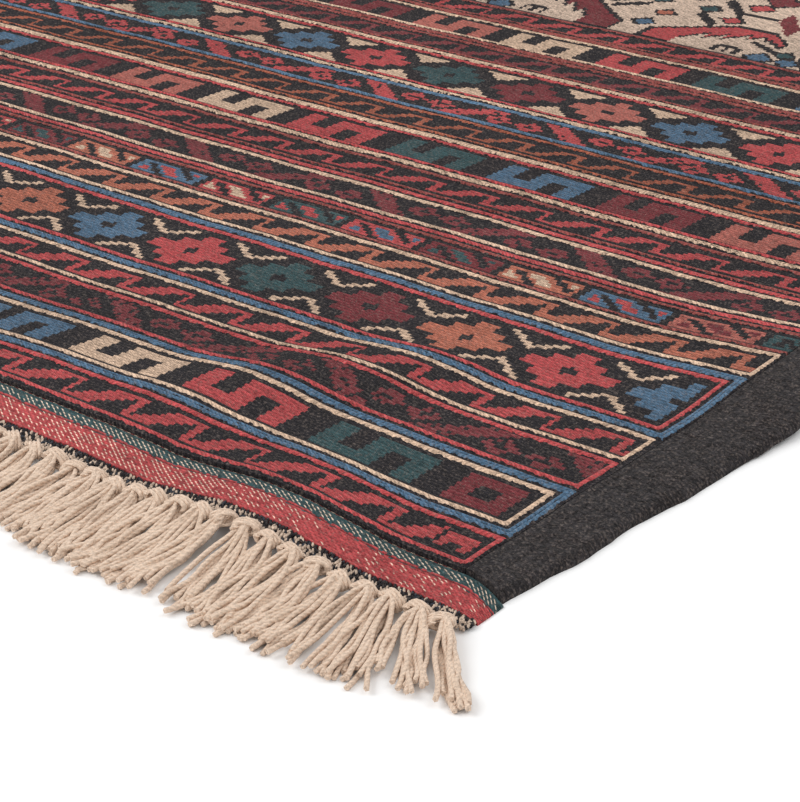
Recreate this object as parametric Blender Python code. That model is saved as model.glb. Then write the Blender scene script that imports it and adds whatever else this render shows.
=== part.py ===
"""Flat-woven wool rug with soumak bands, laid out face up on a floor.

X runs along the wefts, Y along the warps and Z up. The origin is on the floor under the middle of the rug.
Both ends hold the same bands in mirrored order, with a plain field between them.
"""

import math
from dataclasses import dataclass

import bmesh
import bpy

# ---------------------------------------------------------------- driving dimensions, in metres

WOVEN_LENGTH = 2.400  # end to end of the weave, without the fringe
SOUMAK_WIDTH = 1.420  # between the two side selvedges
SELVEDGE_WIDTH = 0.040  # widest reach of a side selvedge
EDGE_DRAW_IN = 0.014  # how much narrower the selvedges are at the ends of the weave
END_WIDTH = SOUMAK_WIDTH + 2 * (SELVEDGE_WIDTH - EDGE_DRAW_IN)  # end webs, twining and knots
DRAW_IN_LENGTH = 0.110
EDGE_RIPPLE = 0.0025  # unevenness of the selvedges' outer edges
FRINGE_LENGTH = 0.060  # knots to tips
FRINGE_FLARE = 0.018  # how far the outermost tassels lean past the knots
KNOT_DEPTH = 0.007
TWINING_DEPTH = 0.008
RED_WEB_DEPTH = 0.016
GREEN_WEB_DEPTH = 0.0085

GROUND_THICKNESS = 0.0016  # warps and ground wefts under the soumak
SOUMAK_THICKNESS = 0.0026
WEB_THICKNESS = 0.0022
TWINING_THICKNESS = 0.0034
KNOT_THICKNESS = 0.0050
TASSEL_THICKNESS = 0.0045
SELVEDGE_THICKNESS = 0.0052

CLEARANCE = 0.0004  # between neighbouring pieces, side by side or one on the other
COLUMN_PITCH = 0.050  # widest spacing of the mesh columns along X
ROW_PITCH = 0.040  # widest spacing of the mesh rows inside a band
FIELD_ROW_PITCH = 0.095


@dataclass(frozen=True)
class Yarn:
    """Colour and finish of one dyed yarn."""

    name: str
    colour: tuple
    roughness: float = 0.9


MADDER = Yarn("madder_red_wool", (0.47, 0.065, 0.060))
WINE = Yarn("wine_red_wool", (0.17, 0.030, 0.036))
RUST = Yarn("rust_orange_wool", (0.40, 0.115, 0.060))
TEAL = Yarn("teal_green_wool", (0.045, 0.105, 0.100))
BLUE = Yarn("denim_blue_wool", (0.055, 0.115, 0.200))
IVORY = Yarn("ivory_wool", (0.56, 0.42, 0.31))
CHARCOAL = Yarn("charcoal_goat_hair", (0.028, 0.024, 0.026))
CREAM = Yarn("cream_warp_wool", (0.62, 0.50, 0.36), 0.85)


@dataclass(frozen=True)
class Band:
    """One soumak band: its depth along the warps and the yarn that marks it."""

    name: str
    depth: float
    yarn: Yarn


# From the green web inwards, the same at both ends.
BANDS = (
    Band("leaf_band_1", 0.0307, MADDER),
    Band("key_band_1", 0.0518, BLUE),
    Band("lattice_band_1", 0.0332, WINE),
    Band("leaf_band_2", 0.0296, MADDER),
    Band("star_band_1", 0.0732, BLUE),
    Band("leaf_band_3", 0.0310, RUST),
    Band("box_band", 0.0280, TEAL),
    Band("lattice_band_2", 0.0450, WINE),
    Band("leaf_band_4", 0.0317, MADDER),
    Band("key_band_2", 0.0525, MADDER),
    Band("leaf_band_5", 0.0318, RUST),
    Band("lattice_band_3", 0.0332, MADDER),
    Band("star_band_2", 0.0690, BLUE),
    Band("leaf_band_6", 0.0293, WINE),
    Band("key_band_3", 0.0523, TEAL),
    Band("leaf_band_7", 0.0312, MADDER),
)


@dataclass(frozen=True)
class Swell:
    """A low rise in the cloth, measured from the nearest corner of the weave.

    side and end are 1 or -1 for the +X or -X side and the +Y or -Y end. inward is the distance from the
    side edge and along the distance from the end. The rise is an ellipse turned by turn degrees.
    """

    side: int
    end: int
    inward: float
    along: float
    half_length: float
    half_width: float
    turn: float
    height: float


SWELLS = (
    Swell(1, -1, 0.115, 0.010, 0.075, 0.075, 0.0, 0.0080),
    Swell(1, -1, 0.300, 0.060, 0.200, 0.110, 0.0, 0.0075),
    Swell(1, -1, 0.212, 0.150, 0.100, 0.050, 52.0, 0.0060),
    Swell(1, -1, -0.010, 0.290, 0.120, 0.110, 90.0, 0.0060),
    Swell(-1, -1, 0.420, 0.010, 0.130, 0.080, 0.0, 0.0070),
    Swell(-1, -1, 0.090, 0.200, 0.150, 0.090, 75.0, 0.0060),
    Swell(-1, 1, 0.160, 0.010, 0.110, 0.085, 0.0, 0.0075),
    Swell(-1, 1, 0.520, 0.090, 0.160, 0.080, 20.0, 0.0060),
    Swell(1, 1, 0.330, 0.020, 0.140, 0.090, 0.0, 0.0070),
    Swell(1, 1, 0.030, 0.330, 0.140, 0.080, 90.0, 0.0050),
)


def swell_height(swell, x, y):
    """Height of one swell at a point; it fades to nothing on its ellipse."""
    centre_x = swell.side * (END_WIDTH / 2 - swell.inward)
    centre_y = swell.end * (WOVEN_LENGTH / 2 - swell.along)
    turn = math.radians(swell.turn)
    dx, dy = x - centre_x, y - centre_y
    lengthways = (dx * math.cos(turn) + dy * math.sin(turn)) / swell.half_length
    crossways = (dy * math.cos(turn) - dx * math.sin(turn)) / swell.half_width
    return swell.height * max(0.0, 1.0 - lengthways**2 - crossways**2) ** 2


def lie(x, y):
    """Height of the rug's underside above the floor."""
    return sum(swell_height(swell, x, y) for swell in SWELLS)


def selvedge_reach(y):
    """Distance from the soumak's edge to the outer edge of a side selvedge, drawn in towards both ends."""
    from_end = WOVEN_LENGTH / 2 - abs(y)
    drawn_in = EDGE_DRAW_IN * math.exp(-((from_end / DRAW_IN_LENGTH) ** 2))
    ripple = EDGE_RIPPLE * (0.6 * math.sin(y * 37.0) + 0.4 * math.sin(y * 83.0 + 1.0))
    return SELVEDGE_WIDTH - EDGE_RIPPLE - drawn_in + ripple


# ---------------------------------------------------------------- mesh building


def even_stations(start, stop, widest):
    """Evenly spaced values from start to stop, no further apart than widest."""
    count = max(1, math.ceil(abs(stop - start) / widest - 1e-9))
    return [start + (stop - start) * i / count for i in range(count + 1)]


def new_material(yarn):
    """The Principled material of a yarn, made once and shared."""
    material = bpy.data.materials.get(yarn.name)
    if material is None:
        material = bpy.data.materials.new(yarn.name)
        material.use_nodes = True
        shader = material.node_tree.nodes["Principled BSDF"]
        shader.inputs["Base Color"].default_value = (*yarn.colour, 1.0)
        shader.inputs["Roughness"].default_value = yarn.roughness
        shader.inputs["Metallic"].default_value = 0.0
        material.diffuse_color = (*yarn.colour, 1.0)
    return material


def woven_slab(name, columns, rows, base, thickness, yarn, place=None):
    """A slab of cloth that follows the lie of the rug.

    A grid is laid on the given columns and rows, raised to the lie plus base, split into triangles and
    extruded straight up by thickness. place, if given, moves a grid point within the plane.
    """
    bm = bmesh.new()
    across, deep = len(columns) - 1, len(rows) - 1
    bmesh.ops.create_grid(bm, x_segments=across, y_segments=deep, size=1.0)
    for vertex in bm.verts:
        x = columns[round((vertex.co.x + 1) / 2 * across)]
        y = rows[round((vertex.co.y + 1) / 2 * deep)]
        if place:
            x, y = place(x, y)
        vertex.co = (x, y, lie(x, y) + base)
    bmesh.ops.triangulate(bm, faces=bm.faces[:], quad_method="FIXED")
    raised = bmesh.ops.extrude_face_region(bm, geom=bm.faces[:], use_keep_orig=True)["geom"]
    upper = [item for item in raised if isinstance(item, bmesh.types.BMVert)]
    bmesh.ops.translate(bm, verts=upper, vec=(0.0, 0.0, thickness))
    bmesh.ops.recalc_face_normals(bm, faces=bm.faces[:])
    mesh = bpy.data.meshes.new(name)
    bm.to_mesh(mesh)
    bm.free()
    mesh.materials.append(new_material(yarn))
    piece = bpy.data.objects.new(name, mesh)
    rug.objects.link(piece)
    return piece


def inset(start, stop):
    """A stretch with half the clearance taken off each end."""
    half = CLEARANCE / 2 if stop > start else -CLEARANCE / 2
    return start + half, stop - half


# ---------------------------------------------------------------- pieces


def end_layout():
    """Distances from the end of the weave at which its pieces start, and the depth that they take in all."""
    starts = {"twining": 0.0, "red_web": TWINING_DEPTH, "green_web": TWINING_DEPTH + RED_WEB_DEPTH}
    depth = TWINING_DEPTH + RED_WEB_DEPTH + GREEN_WEB_DEPTH
    for band in BANDS:
        starts[band.name] = depth
        depth += band.depth
    return starts, depth


def panel_rows(end):
    """Rows of the banded panel at one end, from the green web to the field."""
    starts, depth = end_layout()
    edge = end * WOVEN_LENGTH / 2
    rows = [edge - end * starts[BANDS[0].name]]
    for band in BANDS:
        near = edge - end * starts[band.name]
        rows += even_stations(near, near - end * band.depth, ROW_PITCH)[1:]
    return rows


def field_rows():
    """Rows of the plain field between the two banded panels."""
    edge = WOVEN_LENGTH / 2 - end_layout()[1]
    return even_stations(-edge, edge, FIELD_ROW_PITCH)


def soumak_columns():
    """Mesh columns shared by the ground weave and everything worked on it."""
    edge = SOUMAK_WIDTH / 2 - CLEARANCE / 2
    return even_stations(-edge, edge, COLUMN_PITCH)


def end_columns():
    """Mesh columns of the end webs, twining, knots and tassels."""
    return even_stations(-END_WIDTH / 2, END_WIDTH / 2, COLUMN_PITCH)


def make_ground():
    """The warps and ground wefts that run under the soumak from panel to panel."""
    rows = panel_rows(-1)[:-1] + field_rows() + panel_rows(1)[-2::-1]
    rows[0] += CLEARANCE / 2
    rows[-1] -= CLEARANCE / 2
    woven_slab("ground_weave", soumak_columns(), rows, 0.0, GROUND_THICKNESS, CREAM)


def make_bands(end, end_name):
    """The soumak bands of one end, each worked on the ground weave with yarns of its own."""
    starts, _ = end_layout()
    base = GROUND_THICKNESS + CLEARANCE
    for band in BANDS:
        near = end * (WOVEN_LENGTH / 2 - starts[band.name])
        rows = even_stations(near, near - end * band.depth, ROW_PITCH)
        rows[0], rows[-1] = inset(rows[0], rows[-1])
        rows.sort()
        name = f"{band.name}_{end_name}"
        woven_slab(name, soumak_columns(), rows, base, SOUMAK_THICKNESS, band.yarn)


def make_field():
    """The ivory soumak field between the two panels."""
    rows = field_rows()
    rows[0], rows[-1] = inset(rows[0], rows[-1])
    base = GROUND_THICKNESS + CLEARANCE
    woven_slab("centre_field", soumak_columns(), rows, base, SOUMAK_THICKNESS, IVORY)


def make_end(end, end_name):
    """The plain webs, twining, knots and tassels of one end."""
    edge = WOVEN_LENGTH / 2
    starts, _ = end_layout()

    def strip(name, start, depth, thickness, yarn, place=None):
        rows = list(inset(end * (edge - start), end * (edge - start - depth)))
        rows.sort()
        woven_slab(f"{name}_{end_name}", end_columns(), rows, 0.0, thickness, yarn, place)

    def flare(x, y):
        past = max(0.0, abs(y) - edge - KNOT_DEPTH) / FRINGE_LENGTH
        return x + FRINGE_FLARE * past * (2 * x / END_WIDTH) ** 3, y

    strip("green_web", starts["green_web"], GREEN_WEB_DEPTH, WEB_THICKNESS, TEAL)
    strip("red_web", starts["red_web"], RED_WEB_DEPTH, WEB_THICKNESS, MADDER)
    strip("twining", starts["twining"], TWINING_DEPTH, TWINING_THICKNESS, BLUE)
    strip("fringe_knots", -KNOT_DEPTH, KNOT_DEPTH, KNOT_THICKNESS, CREAM)
    strip("fringe_tassels", -KNOT_DEPTH - FRINGE_LENGTH, FRINGE_LENGTH, TASSEL_THICKNESS, CREAM, flare)


def make_selvedge(side, side_name):
    """One side selvedge, wrapped over a bundle of warps, with a slightly uneven outer edge."""
    rows = panel_rows(-1)[:-1] + field_rows() + panel_rows(1)[-2::-1]
    rows[0], rows[-1] = inset(rows[0], rows[-1])
    inner = SOUMAK_WIDTH / 2 + CLEARANCE / 2

    def to_edge(share, y):
        return side * (inner + share * (selvedge_reach(y) - CLEARANCE / 2)), y

    shares = [0.0, 0.5, 1.0] if side > 0 else [1.0, 0.5, 0.0]
    woven_slab(f"selvedge_{side_name}", shares, rows, 0.0, SELVEDGE_THICKNESS, CHARCOAL, to_edge)


for old in list(bpy.data.objects):
    bpy.data.objects.remove(old, do_unlink=True)
rug = bpy.data.collections.new("area_rug")
bpy.context.scene.collection.children.link(rug)

make_ground()
make_field()
for rug_end, rug_end_name in ((-1, "front"), (1, "back")):
    make_end(rug_end, rug_end_name)
    make_bands(rug_end, rug_end_name)
for rug_side, rug_side_name in ((-1, "left"), (1, "right")):
    make_selvedge(rug_side, rug_side_name)
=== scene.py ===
"""Looks of a flat-woven wool rug: soumak bands and field, end webs, twining, knotted fringe and selvedges.

X runs along the wefts, Y along the warps and Z up, as in the frame. Everything is in metres; sizes inside a
band's pattern are in millimetres, because that is how the stitches are counted.
"""

import logging
import math
from dataclasses import dataclass, field
from enum import Enum
from functools import reduce
from operator import or_

import bpy
import numpy as np
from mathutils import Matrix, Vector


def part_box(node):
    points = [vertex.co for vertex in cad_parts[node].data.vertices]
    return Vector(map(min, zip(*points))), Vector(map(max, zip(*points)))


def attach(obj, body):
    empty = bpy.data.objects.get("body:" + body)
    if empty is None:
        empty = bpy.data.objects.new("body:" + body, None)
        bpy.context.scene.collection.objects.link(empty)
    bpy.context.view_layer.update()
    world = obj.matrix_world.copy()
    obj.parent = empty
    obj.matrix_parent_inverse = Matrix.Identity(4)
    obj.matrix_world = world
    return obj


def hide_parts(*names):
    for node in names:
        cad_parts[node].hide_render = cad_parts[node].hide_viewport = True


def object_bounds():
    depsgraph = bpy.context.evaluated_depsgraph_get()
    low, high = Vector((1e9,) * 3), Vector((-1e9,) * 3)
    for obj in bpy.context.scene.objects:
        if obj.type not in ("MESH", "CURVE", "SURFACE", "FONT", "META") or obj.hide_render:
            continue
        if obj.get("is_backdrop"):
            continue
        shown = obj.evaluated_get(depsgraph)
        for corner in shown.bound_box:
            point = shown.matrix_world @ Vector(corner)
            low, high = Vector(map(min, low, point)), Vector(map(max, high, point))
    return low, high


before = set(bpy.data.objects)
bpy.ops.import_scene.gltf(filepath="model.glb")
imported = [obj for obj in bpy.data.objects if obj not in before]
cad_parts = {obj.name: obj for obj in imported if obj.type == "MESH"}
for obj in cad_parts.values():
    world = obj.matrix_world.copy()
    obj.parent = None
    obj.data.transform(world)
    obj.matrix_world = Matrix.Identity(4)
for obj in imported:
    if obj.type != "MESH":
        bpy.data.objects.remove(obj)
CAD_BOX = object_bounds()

log = logging.getLogger("area_rug")

MM = 0.001
ENDS = {"front": -1, "back": 1}
SIDES = {"left": -1, "right": 1}

# ------------------------------------------------------------------ the rug's layout, as in the frame

CLEARANCE = 0.0004
WEAVE_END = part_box("twining_back")[1][1] + CLEARANCE / 2
SOUMAK_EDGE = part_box("centre_field")[1][0] + CLEARANCE / 2
END_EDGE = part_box("red_web_back")[1][0]
GROUND_TOP = 0.0016
SOUMAK_BASE = GROUND_TOP + CLEARANCE
SOUMAK_WIDTH = 2 * SOUMAK_EDGE / MM
WEB_WIDTH = 2 * END_EDGE / MM


@dataclass(frozen=True)
class Swell:
    """A low elliptical rise in the cloth, placed from a corner of the weave and turned by some degrees."""

    side: int
    end: int
    inward: float
    along: float
    half_length: float
    half_width: float
    turn: float
    height: float

    def lift(self, x: np.ndarray, y: np.ndarray) -> np.ndarray:
        """Height of the swell at points.

        Args:
            x: Places along the wefts.
            y: Places along the warps.

        Returns:
            The height at each point, nothing outside the ellipse.
        """
        dx = x - self.side * (END_EDGE - self.inward)
        dy = y - self.end * (WEAVE_END - self.along)
        cos, sin = math.cos(math.radians(self.turn)), math.sin(math.radians(self.turn))
        lengthways = (dx * cos + dy * sin) / self.half_length
        crossways = (dy * cos - dx * sin) / self.half_width
        return self.height * np.maximum(0.0, 1.0 - lengthways**2 - crossways**2) ** 2


SWELLS = (
    Swell(1, -1, 0.115, 0.010, 0.075, 0.075, 0.0, 0.0080),
    Swell(1, -1, 0.275, 0.048, 0.190, 0.100, 0.0, 0.0066),
    Swell(1, -1, 0.184, 0.138, 0.115, 0.048, 53.0, 0.0058),
    Swell(1, -1, 0.150, 0.090, 0.115, 0.080, 0.0, 0.0024),
    Swell(1, -1, -0.010, 0.290, 0.120, 0.110, 90.0, 0.0060),
    Swell(-1, -1, 0.420, 0.010, 0.130, 0.080, 0.0, 0.0070),
    Swell(-1, -1, 0.090, 0.200, 0.150, 0.090, 75.0, 0.0060),
    Swell(-1, 1, 0.160, 0.010, 0.110, 0.085, 0.0, 0.0075),
    Swell(-1, 1, 0.520, 0.090, 0.160, 0.080, 20.0, 0.0060),
    Swell(1, 1, 0.330, 0.020, 0.140, 0.090, 0.0, 0.0070),
    Swell(1, 1, 0.030, 0.330, 0.140, 0.080, 90.0, 0.0050),
)


def lie(x: np.ndarray, y: np.ndarray) -> np.ndarray:
    """Height of the rug's underside above the floor."""
    return sum(swell.lift(x, y) for swell in SWELLS)


def drift(x: np.ndarray, y: np.ndarray) -> tuple[np.ndarray, np.ndarray]:
    """Moves points a little within the plane, as hand-packed rows wander.

    Args:
        x: Places along the wefts.
        y: Places along the warps.

    Returns:
        The moved x and y. Neighbouring pieces move together, because only the place counts.
    """
    sideways = 0.0006 * np.sin(y * 31.0 + 0.4) + 0.0003 * np.sin(y * 97.0 + x * 5.0)
    lengthways = 0.0007 * np.sin(x * 23.0 + y * 4.0 + 1.0) + 0.0004 * np.sin(x * 71.0 + y * 9.0)
    lengthways = lengthways + 0.0002 * np.sin(x * 211.0 + y * 37.0)
    beside = np.clip((np.abs(x) - SOUMAK_EDGE) / (END_EDGE - SOUMAK_EDGE), 0.0, 1.0)
    from_end = (WEAVE_END - np.abs(y)) / MM
    pull = np.interp(from_end, (2.0, 26.0, 34.0, 75.0), (0.0, 9.0, 9.0, 0.0)) * MM
    return x + sideways, y + lengthways + np.sign(y) * pull * beside**1.5


SELVEDGE_REACH = 0.0375
DRAW_IN = 0.014  # how much a selvedge is drawn in at an end
DRAW_IN_LENGTH = 0.110
EDGE_RIPPLE = 0.0020


def selvedge_reach(y: np.ndarray) -> np.ndarray:
    """Distance from the soumak's edge to a selvedge's outer edge.

    Args:
        y: Places along the warps.

    Returns:
        The distance, drawn in towards both ends.
    """
    drawn_in = DRAW_IN * np.exp(-(((WEAVE_END - np.abs(y)) / DRAW_IN_LENGTH) ** 2))
    ripple = EDGE_RIPPLE * (0.6 * np.sin(y * 37.0) + 0.4 * np.sin(y * 83.0 + 1.0))
    return SELVEDGE_REACH - drawn_in + ripple


# ------------------------------------------------------------------ yarns


@dataclass(frozen=True)
class Yarn:
    """One dyed yarn and its colour in linear light."""

    name: str
    colour: tuple[float, float, float]


MADDER = Yarn("madder", (0.585, 0.090, 0.094))
WINE = Yarn("wine", (0.228, 0.041, 0.049))
BRICK = Yarn("brick", (0.360, 0.090, 0.080))
RUST = Yarn("rust", (0.450, 0.130, 0.076))
SALMON = Yarn("salmon", (0.560, 0.170, 0.135))
ORANGE = Yarn("orange", (0.580, 0.185, 0.118))
TEAL = Yarn("teal", (0.047, 0.102, 0.110))
CLARET = Yarn("claret", (0.250, 0.050, 0.058))
BLUE = Yarn("blue", (0.102, 0.192, 0.300))
IVORY = Yarn("ivory", (0.800, 0.565, 0.405))
FIELD_IVORY = Yarn("field_ivory", (0.840, 0.630, 0.490))
INK = Yarn("ink", (0.025, 0.022, 0.026))
CREAM = Yarn("cream", (0.930, 0.715, 0.555))
HAIR = Yarn("hair", (0.029, 0.025, 0.027))
SLATE = Yarn("slate", (0.045, 0.055, 0.075))
EARTH = Yarn("earth", (0.030, 0.018, 0.015))
FELT = Yarn("felt", (0.066, 0.058, 0.060))
# A colour for painted shade in the selvedge's pits, not a yarn.
PIT_SHADE = Yarn("pit", (0.012, 0.010, 0.011))
# A colour for painted highlights on fibre tips, not a yarn.
FIBRE_HIGHLIGHT = Yarn("fleck", (0.300, 0.240, 0.205))
BROWNED = Yarn("browned", (0.700, 0.500, 0.360))

Colouring = Yarn | bpy.types.NodeSocket  # what a colour may be given as


# ------------------------------------------------------------------ shader graphs


class Reading:
    """A number that varies over a surface, written as ordinary maths."""

    def __init__(self, tree: "Tree", socket: bpy.types.NodeSocket) -> None:
        """Wraps an output socket of a node tree."""
        self.tree = tree
        self.socket = socket

    def using(self, operation: str, *others: "Reading | float") -> "Reading":
        """Result of one Math node on this reading and up to two others."""
        return self.tree.maths(operation, self, *others)

    def __add__(self, other: "Reading | float") -> "Reading":
        """self + other."""
        return self.using("ADD", other)

    __radd__ = __add__

    def __sub__(self, other: "Reading | float") -> "Reading":
        """self - other."""
        return self.using("SUBTRACT", other)

    def __rsub__(self, other: "Reading | float") -> "Reading":
        """other - self."""
        return self.tree.maths("SUBTRACT", other, self)

    def __mul__(self, other: "Reading | float") -> "Reading":
        """self * other; on masks, where both hold."""
        return self.using("MULTIPLY", other)

    __rmul__ = __mul__

    def __truediv__(self, other: "Reading | float") -> "Reading":
        """self / other."""
        return self.using("DIVIDE", other)

    def __or__(self, other: "Reading") -> "Reading":
        """On masks, where either holds."""
        return self.using("MAXIMUM", other)

    def __abs__(self) -> "Reading":
        """The value without its sign."""
        return self.using("ABSOLUTE")

    def __lt__(self, other: "Reading | float") -> "Reading":
        """Mask of self < other."""
        return self.using("LESS_THAN", other)

    def __gt__(self, other: "Reading | float") -> "Reading":
        """Mask of self > other."""
        return self.using("GREATER_THAN", other)

    def __mod__(self, period: float) -> "Reading":
        """Remainder that stays positive."""
        return self.using("FLOORED_MODULO", period)

    def within(self, low: float, high: float) -> "Reading":
        """Mask of low <= self <= high."""
        return self.using("COMPARE", (low + high) / 2, (high - low) / 2)

    def near(self, centre: float, half: float) -> "Reading":
        """Mask of self within half of centre."""
        return self.using("COMPARE", centre, half)

    def least(self, other: "Reading | float") -> "Reading":
        """The smaller of the two."""
        return self.using("MINIMUM", other)

    def floor(self) -> "Reading":
        """Rounded down."""
        return self.using("FLOOR")

    def power(self, exponent: float) -> "Reading":
        """Raised to a power."""
        return self.using("POWER", exponent)

    def most(self, other: "Reading | float") -> "Reading":
        """The larger of the two."""
        return self.using("MAXIMUM", other)

    def sine(self) -> "Reading":
        """Sine, of radians."""
        return self.using("SINE")

    def cell(self) -> tuple["Reading", "Reading"]:
        """Its whole part, and its place in that cell, -0.5 to 0.5."""
        whole = self.floor()
        return whole, self - whole - 0.5


class Tree:
    """A node tree under construction."""

    def __init__(self, tree: bpy.types.NodeTree) -> None:
        """Keeps the tree."""
        self.tree = tree

    def node(self, kind: str, settings: dict | None = None, values: dict | None = None) -> bpy.types.Node:
        """Makes any node.

        Args:
            kind: The node's type.
            settings: Properties to set first.
            values: Numbers, sockets or readings for its inputs, by name or index.

        Returns:
            The new node.
        """
        made = self.tree.nodes.new(kind)
        for key, value in (settings or {}).items():
            setattr(made, key, value)
        for key, value in (values or {}).items():
            value = value.socket if isinstance(value, Reading) else value
            if isinstance(value, bpy.types.NodeSocket):
                self.tree.links.new(value, made.inputs[key])
            else:
                made.inputs[key].default_value = value
        return made

    def maths(self, operation: str, *values: Reading | float) -> Reading:
        """One Math node on readings and numbers."""
        made = self.node("ShaderNodeMath", {"operation": operation}, dict(enumerate(values)))
        return Reading(self, made.outputs[0])

    def split(self, vector: Reading | bpy.types.NodeSocket) -> list[Reading]:
        """The three parts of a vector."""
        made = self.node("ShaderNodeSeparateXYZ", values={0: vector})
        return [Reading(self, part) for part in made.outputs]

    def join(self, *parts: Reading | float) -> bpy.types.NodeSocket:
        """A vector of up to three parts."""
        return self.node("ShaderNodeCombineXYZ", values=dict(enumerate(parts))).outputs[0]


class Dyeing(Tree):
    """The node tree of one wool material, from colour to normal."""

    def __init__(self, name: str, rough: float = 0.95, sheen: float = 0.03) -> None:
        """Starts a material.

        Args:
            name: The material's name.
            rough: Roughness of the yarn.
            sheen: Weight of the soft glow of its hairs.
        """
        self.material = bpy.data.materials.new(name)
        self.material.use_nodes = True
        super().__init__(self.material.node_tree)
        self.shader = self.tree.nodes["Principled BSDF"]
        wool = {"Roughness": rough, "Specular IOR Level": 0.12}
        wool |= {"Sheen Weight": sheen, "Sheen Roughness": 0.6}
        for label, value in wool.items():
            self.shader.inputs[label].default_value = value

    def weave_place(self) -> tuple[Reading, Reading]:
        """Place on the piece's own Weave map, across and deep, in millimetres."""
        across, deep, _ = self.split(self.node("ShaderNodeUVMap", {"uv_map": "Weave"}).outputs[0])
        return across * (1.0 / MM), deep * (1.0 / MM)

    def attribute(self, name: str) -> Reading:
        """A number kept on the mesh."""
        return Reading(self, self.node("ShaderNodeAttribute", {"attribute_name": name}).outputs["Fac"])

    def over(self, mask: Reading, top: Colouring, under: Colouring) -> bpy.types.NodeSocket:
        """Lays one colour over another.

        Args:
            mask: Where the upper colour shows, 0 to 1.
            top: The upper colour.
            under: The lower colour.

        Returns:
            The mixed colour.
        """
        values = {0: mask}
        for index, side in ((6, under), (7, top)):
            values[index] = (*side.colour, 1.0) if isinstance(side, Yarn) else side
        return self.node("ShaderNodeMix", {"data_type": "RGBA"}, values).outputs[2]

    def ramp(self, share: Reading, stops: list[tuple[float, tuple]]) -> bpy.types.NodeSocket:
        """Steps of colour.

        Args:
            share: Where to read, 0 to 1.
            stops: Start of each step and its colour.

        Returns:
            The colour.
        """
        made = self.node("ShaderNodeValToRGB", values={0: share})
        made.color_ramp.interpolation = "CONSTANT"
        elements = made.color_ramp.elements
        for i, (place, colour) in enumerate(stops):
            stop = elements[i] if i < 2 else elements.new(place)
            stop.position = place
            stop.color = (*colour, 1.0)
        return made.outputs[0]

    def choice(self, index: Reading, yarns: tuple[Yarn, ...]) -> bpy.types.NodeSocket:
        """Colour of the yarn whose turn it is.

        Args:
            index: A whole number, counted round the list.
            yarns: The list of yarns.

        Returns:
            The colour.
        """
        count = float(len(yarns))
        stops = [(i / len(yarns), yarn.colour) for i, yarn in enumerate(yarns)]
        return self.ramp((index % count + 0.5) / count, stops)

    def noise(self, scale: float, detail: float = 2.0) -> Reading:
        """Soft noise on object coordinates.

        Args:
            scale: Lumps to a metre, roughly.
            detail: How many finer layers it has.

        Returns:
            The noise, 0 to 1.
        """
        where = self.node("ShaderNodeTexCoord").outputs["Object"]
        values = {"Vector": where, "Scale": scale, "Detail": detail}
        return Reading(self, self.node("ShaderNodeTexNoise", values=values).outputs["Fac"])

    def chance(self, *parts: Reading | float) -> Reading:
        """A steady random number for each set of whole numbers.

        Args:
            parts: Up to three whole numbers.

        Returns:
            The number, 0 to 1.
        """
        where = {"Vector": self.join(*parts)}
        made = self.node("ShaderNodeTexWhiteNoise", {"noise_dimensions": "3D"}, where)
        return Reading(self, made.outputs["Value"])

    def shade(self, colour: bpy.types.NodeSocket, strength: Reading) -> bpy.types.NodeSocket:
        """Makes a colour lighter or darker.

        Args:
            colour: The colour.
            strength: What to multiply it by.

        Returns:
            The product.
        """
        grey = self.node("ShaderNodeCombineColor", values=dict.fromkeys(range(3), strength)).outputs[0]
        settings = {"data_type": "RGBA", "blend_type": "MULTIPLY"}
        return self.node("ShaderNodeMix", settings, {0: 1.0, 6: colour, 7: grey}).outputs[2]

    def finish(self, colour: bpy.types.NodeSocket, height: Reading, depth: float) -> bpy.types.Material:
        """Connects colour and relief to the shader.

        Args:
            colour: Base colour.
            height: Relief, 0 to 1.
            depth: Height of the relief in metres.

        Returns:
            The finished material.
        """
        self.tree.links.new(colour, self.shader.inputs["Base Color"])
        bump = self.node("ShaderNodeBump", values={"Distance": depth, "Strength": 1.0, "Height": height})
        self.tree.links.new(bump.outputs[0], self.shader.inputs["Normal"])
        return self.material


# ------------------------------------------------------------------ cloth meshes

EDGE_ROOM = 0.004  # share of the bake map left free at both sides
ROW_ROOM = 0.02  # share of each of its rows left free above and below
SHARP_ANGLE = math.radians(75)


def stations(start: float, stop: float, widest: float) -> list[float]:
    """Evenly spaced values from start to just before stop, no further apart than widest."""
    count = max(1, math.ceil((stop - start) / widest - 1e-9))
    return [start + (stop - start) * i / count for i in range(count)]


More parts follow.
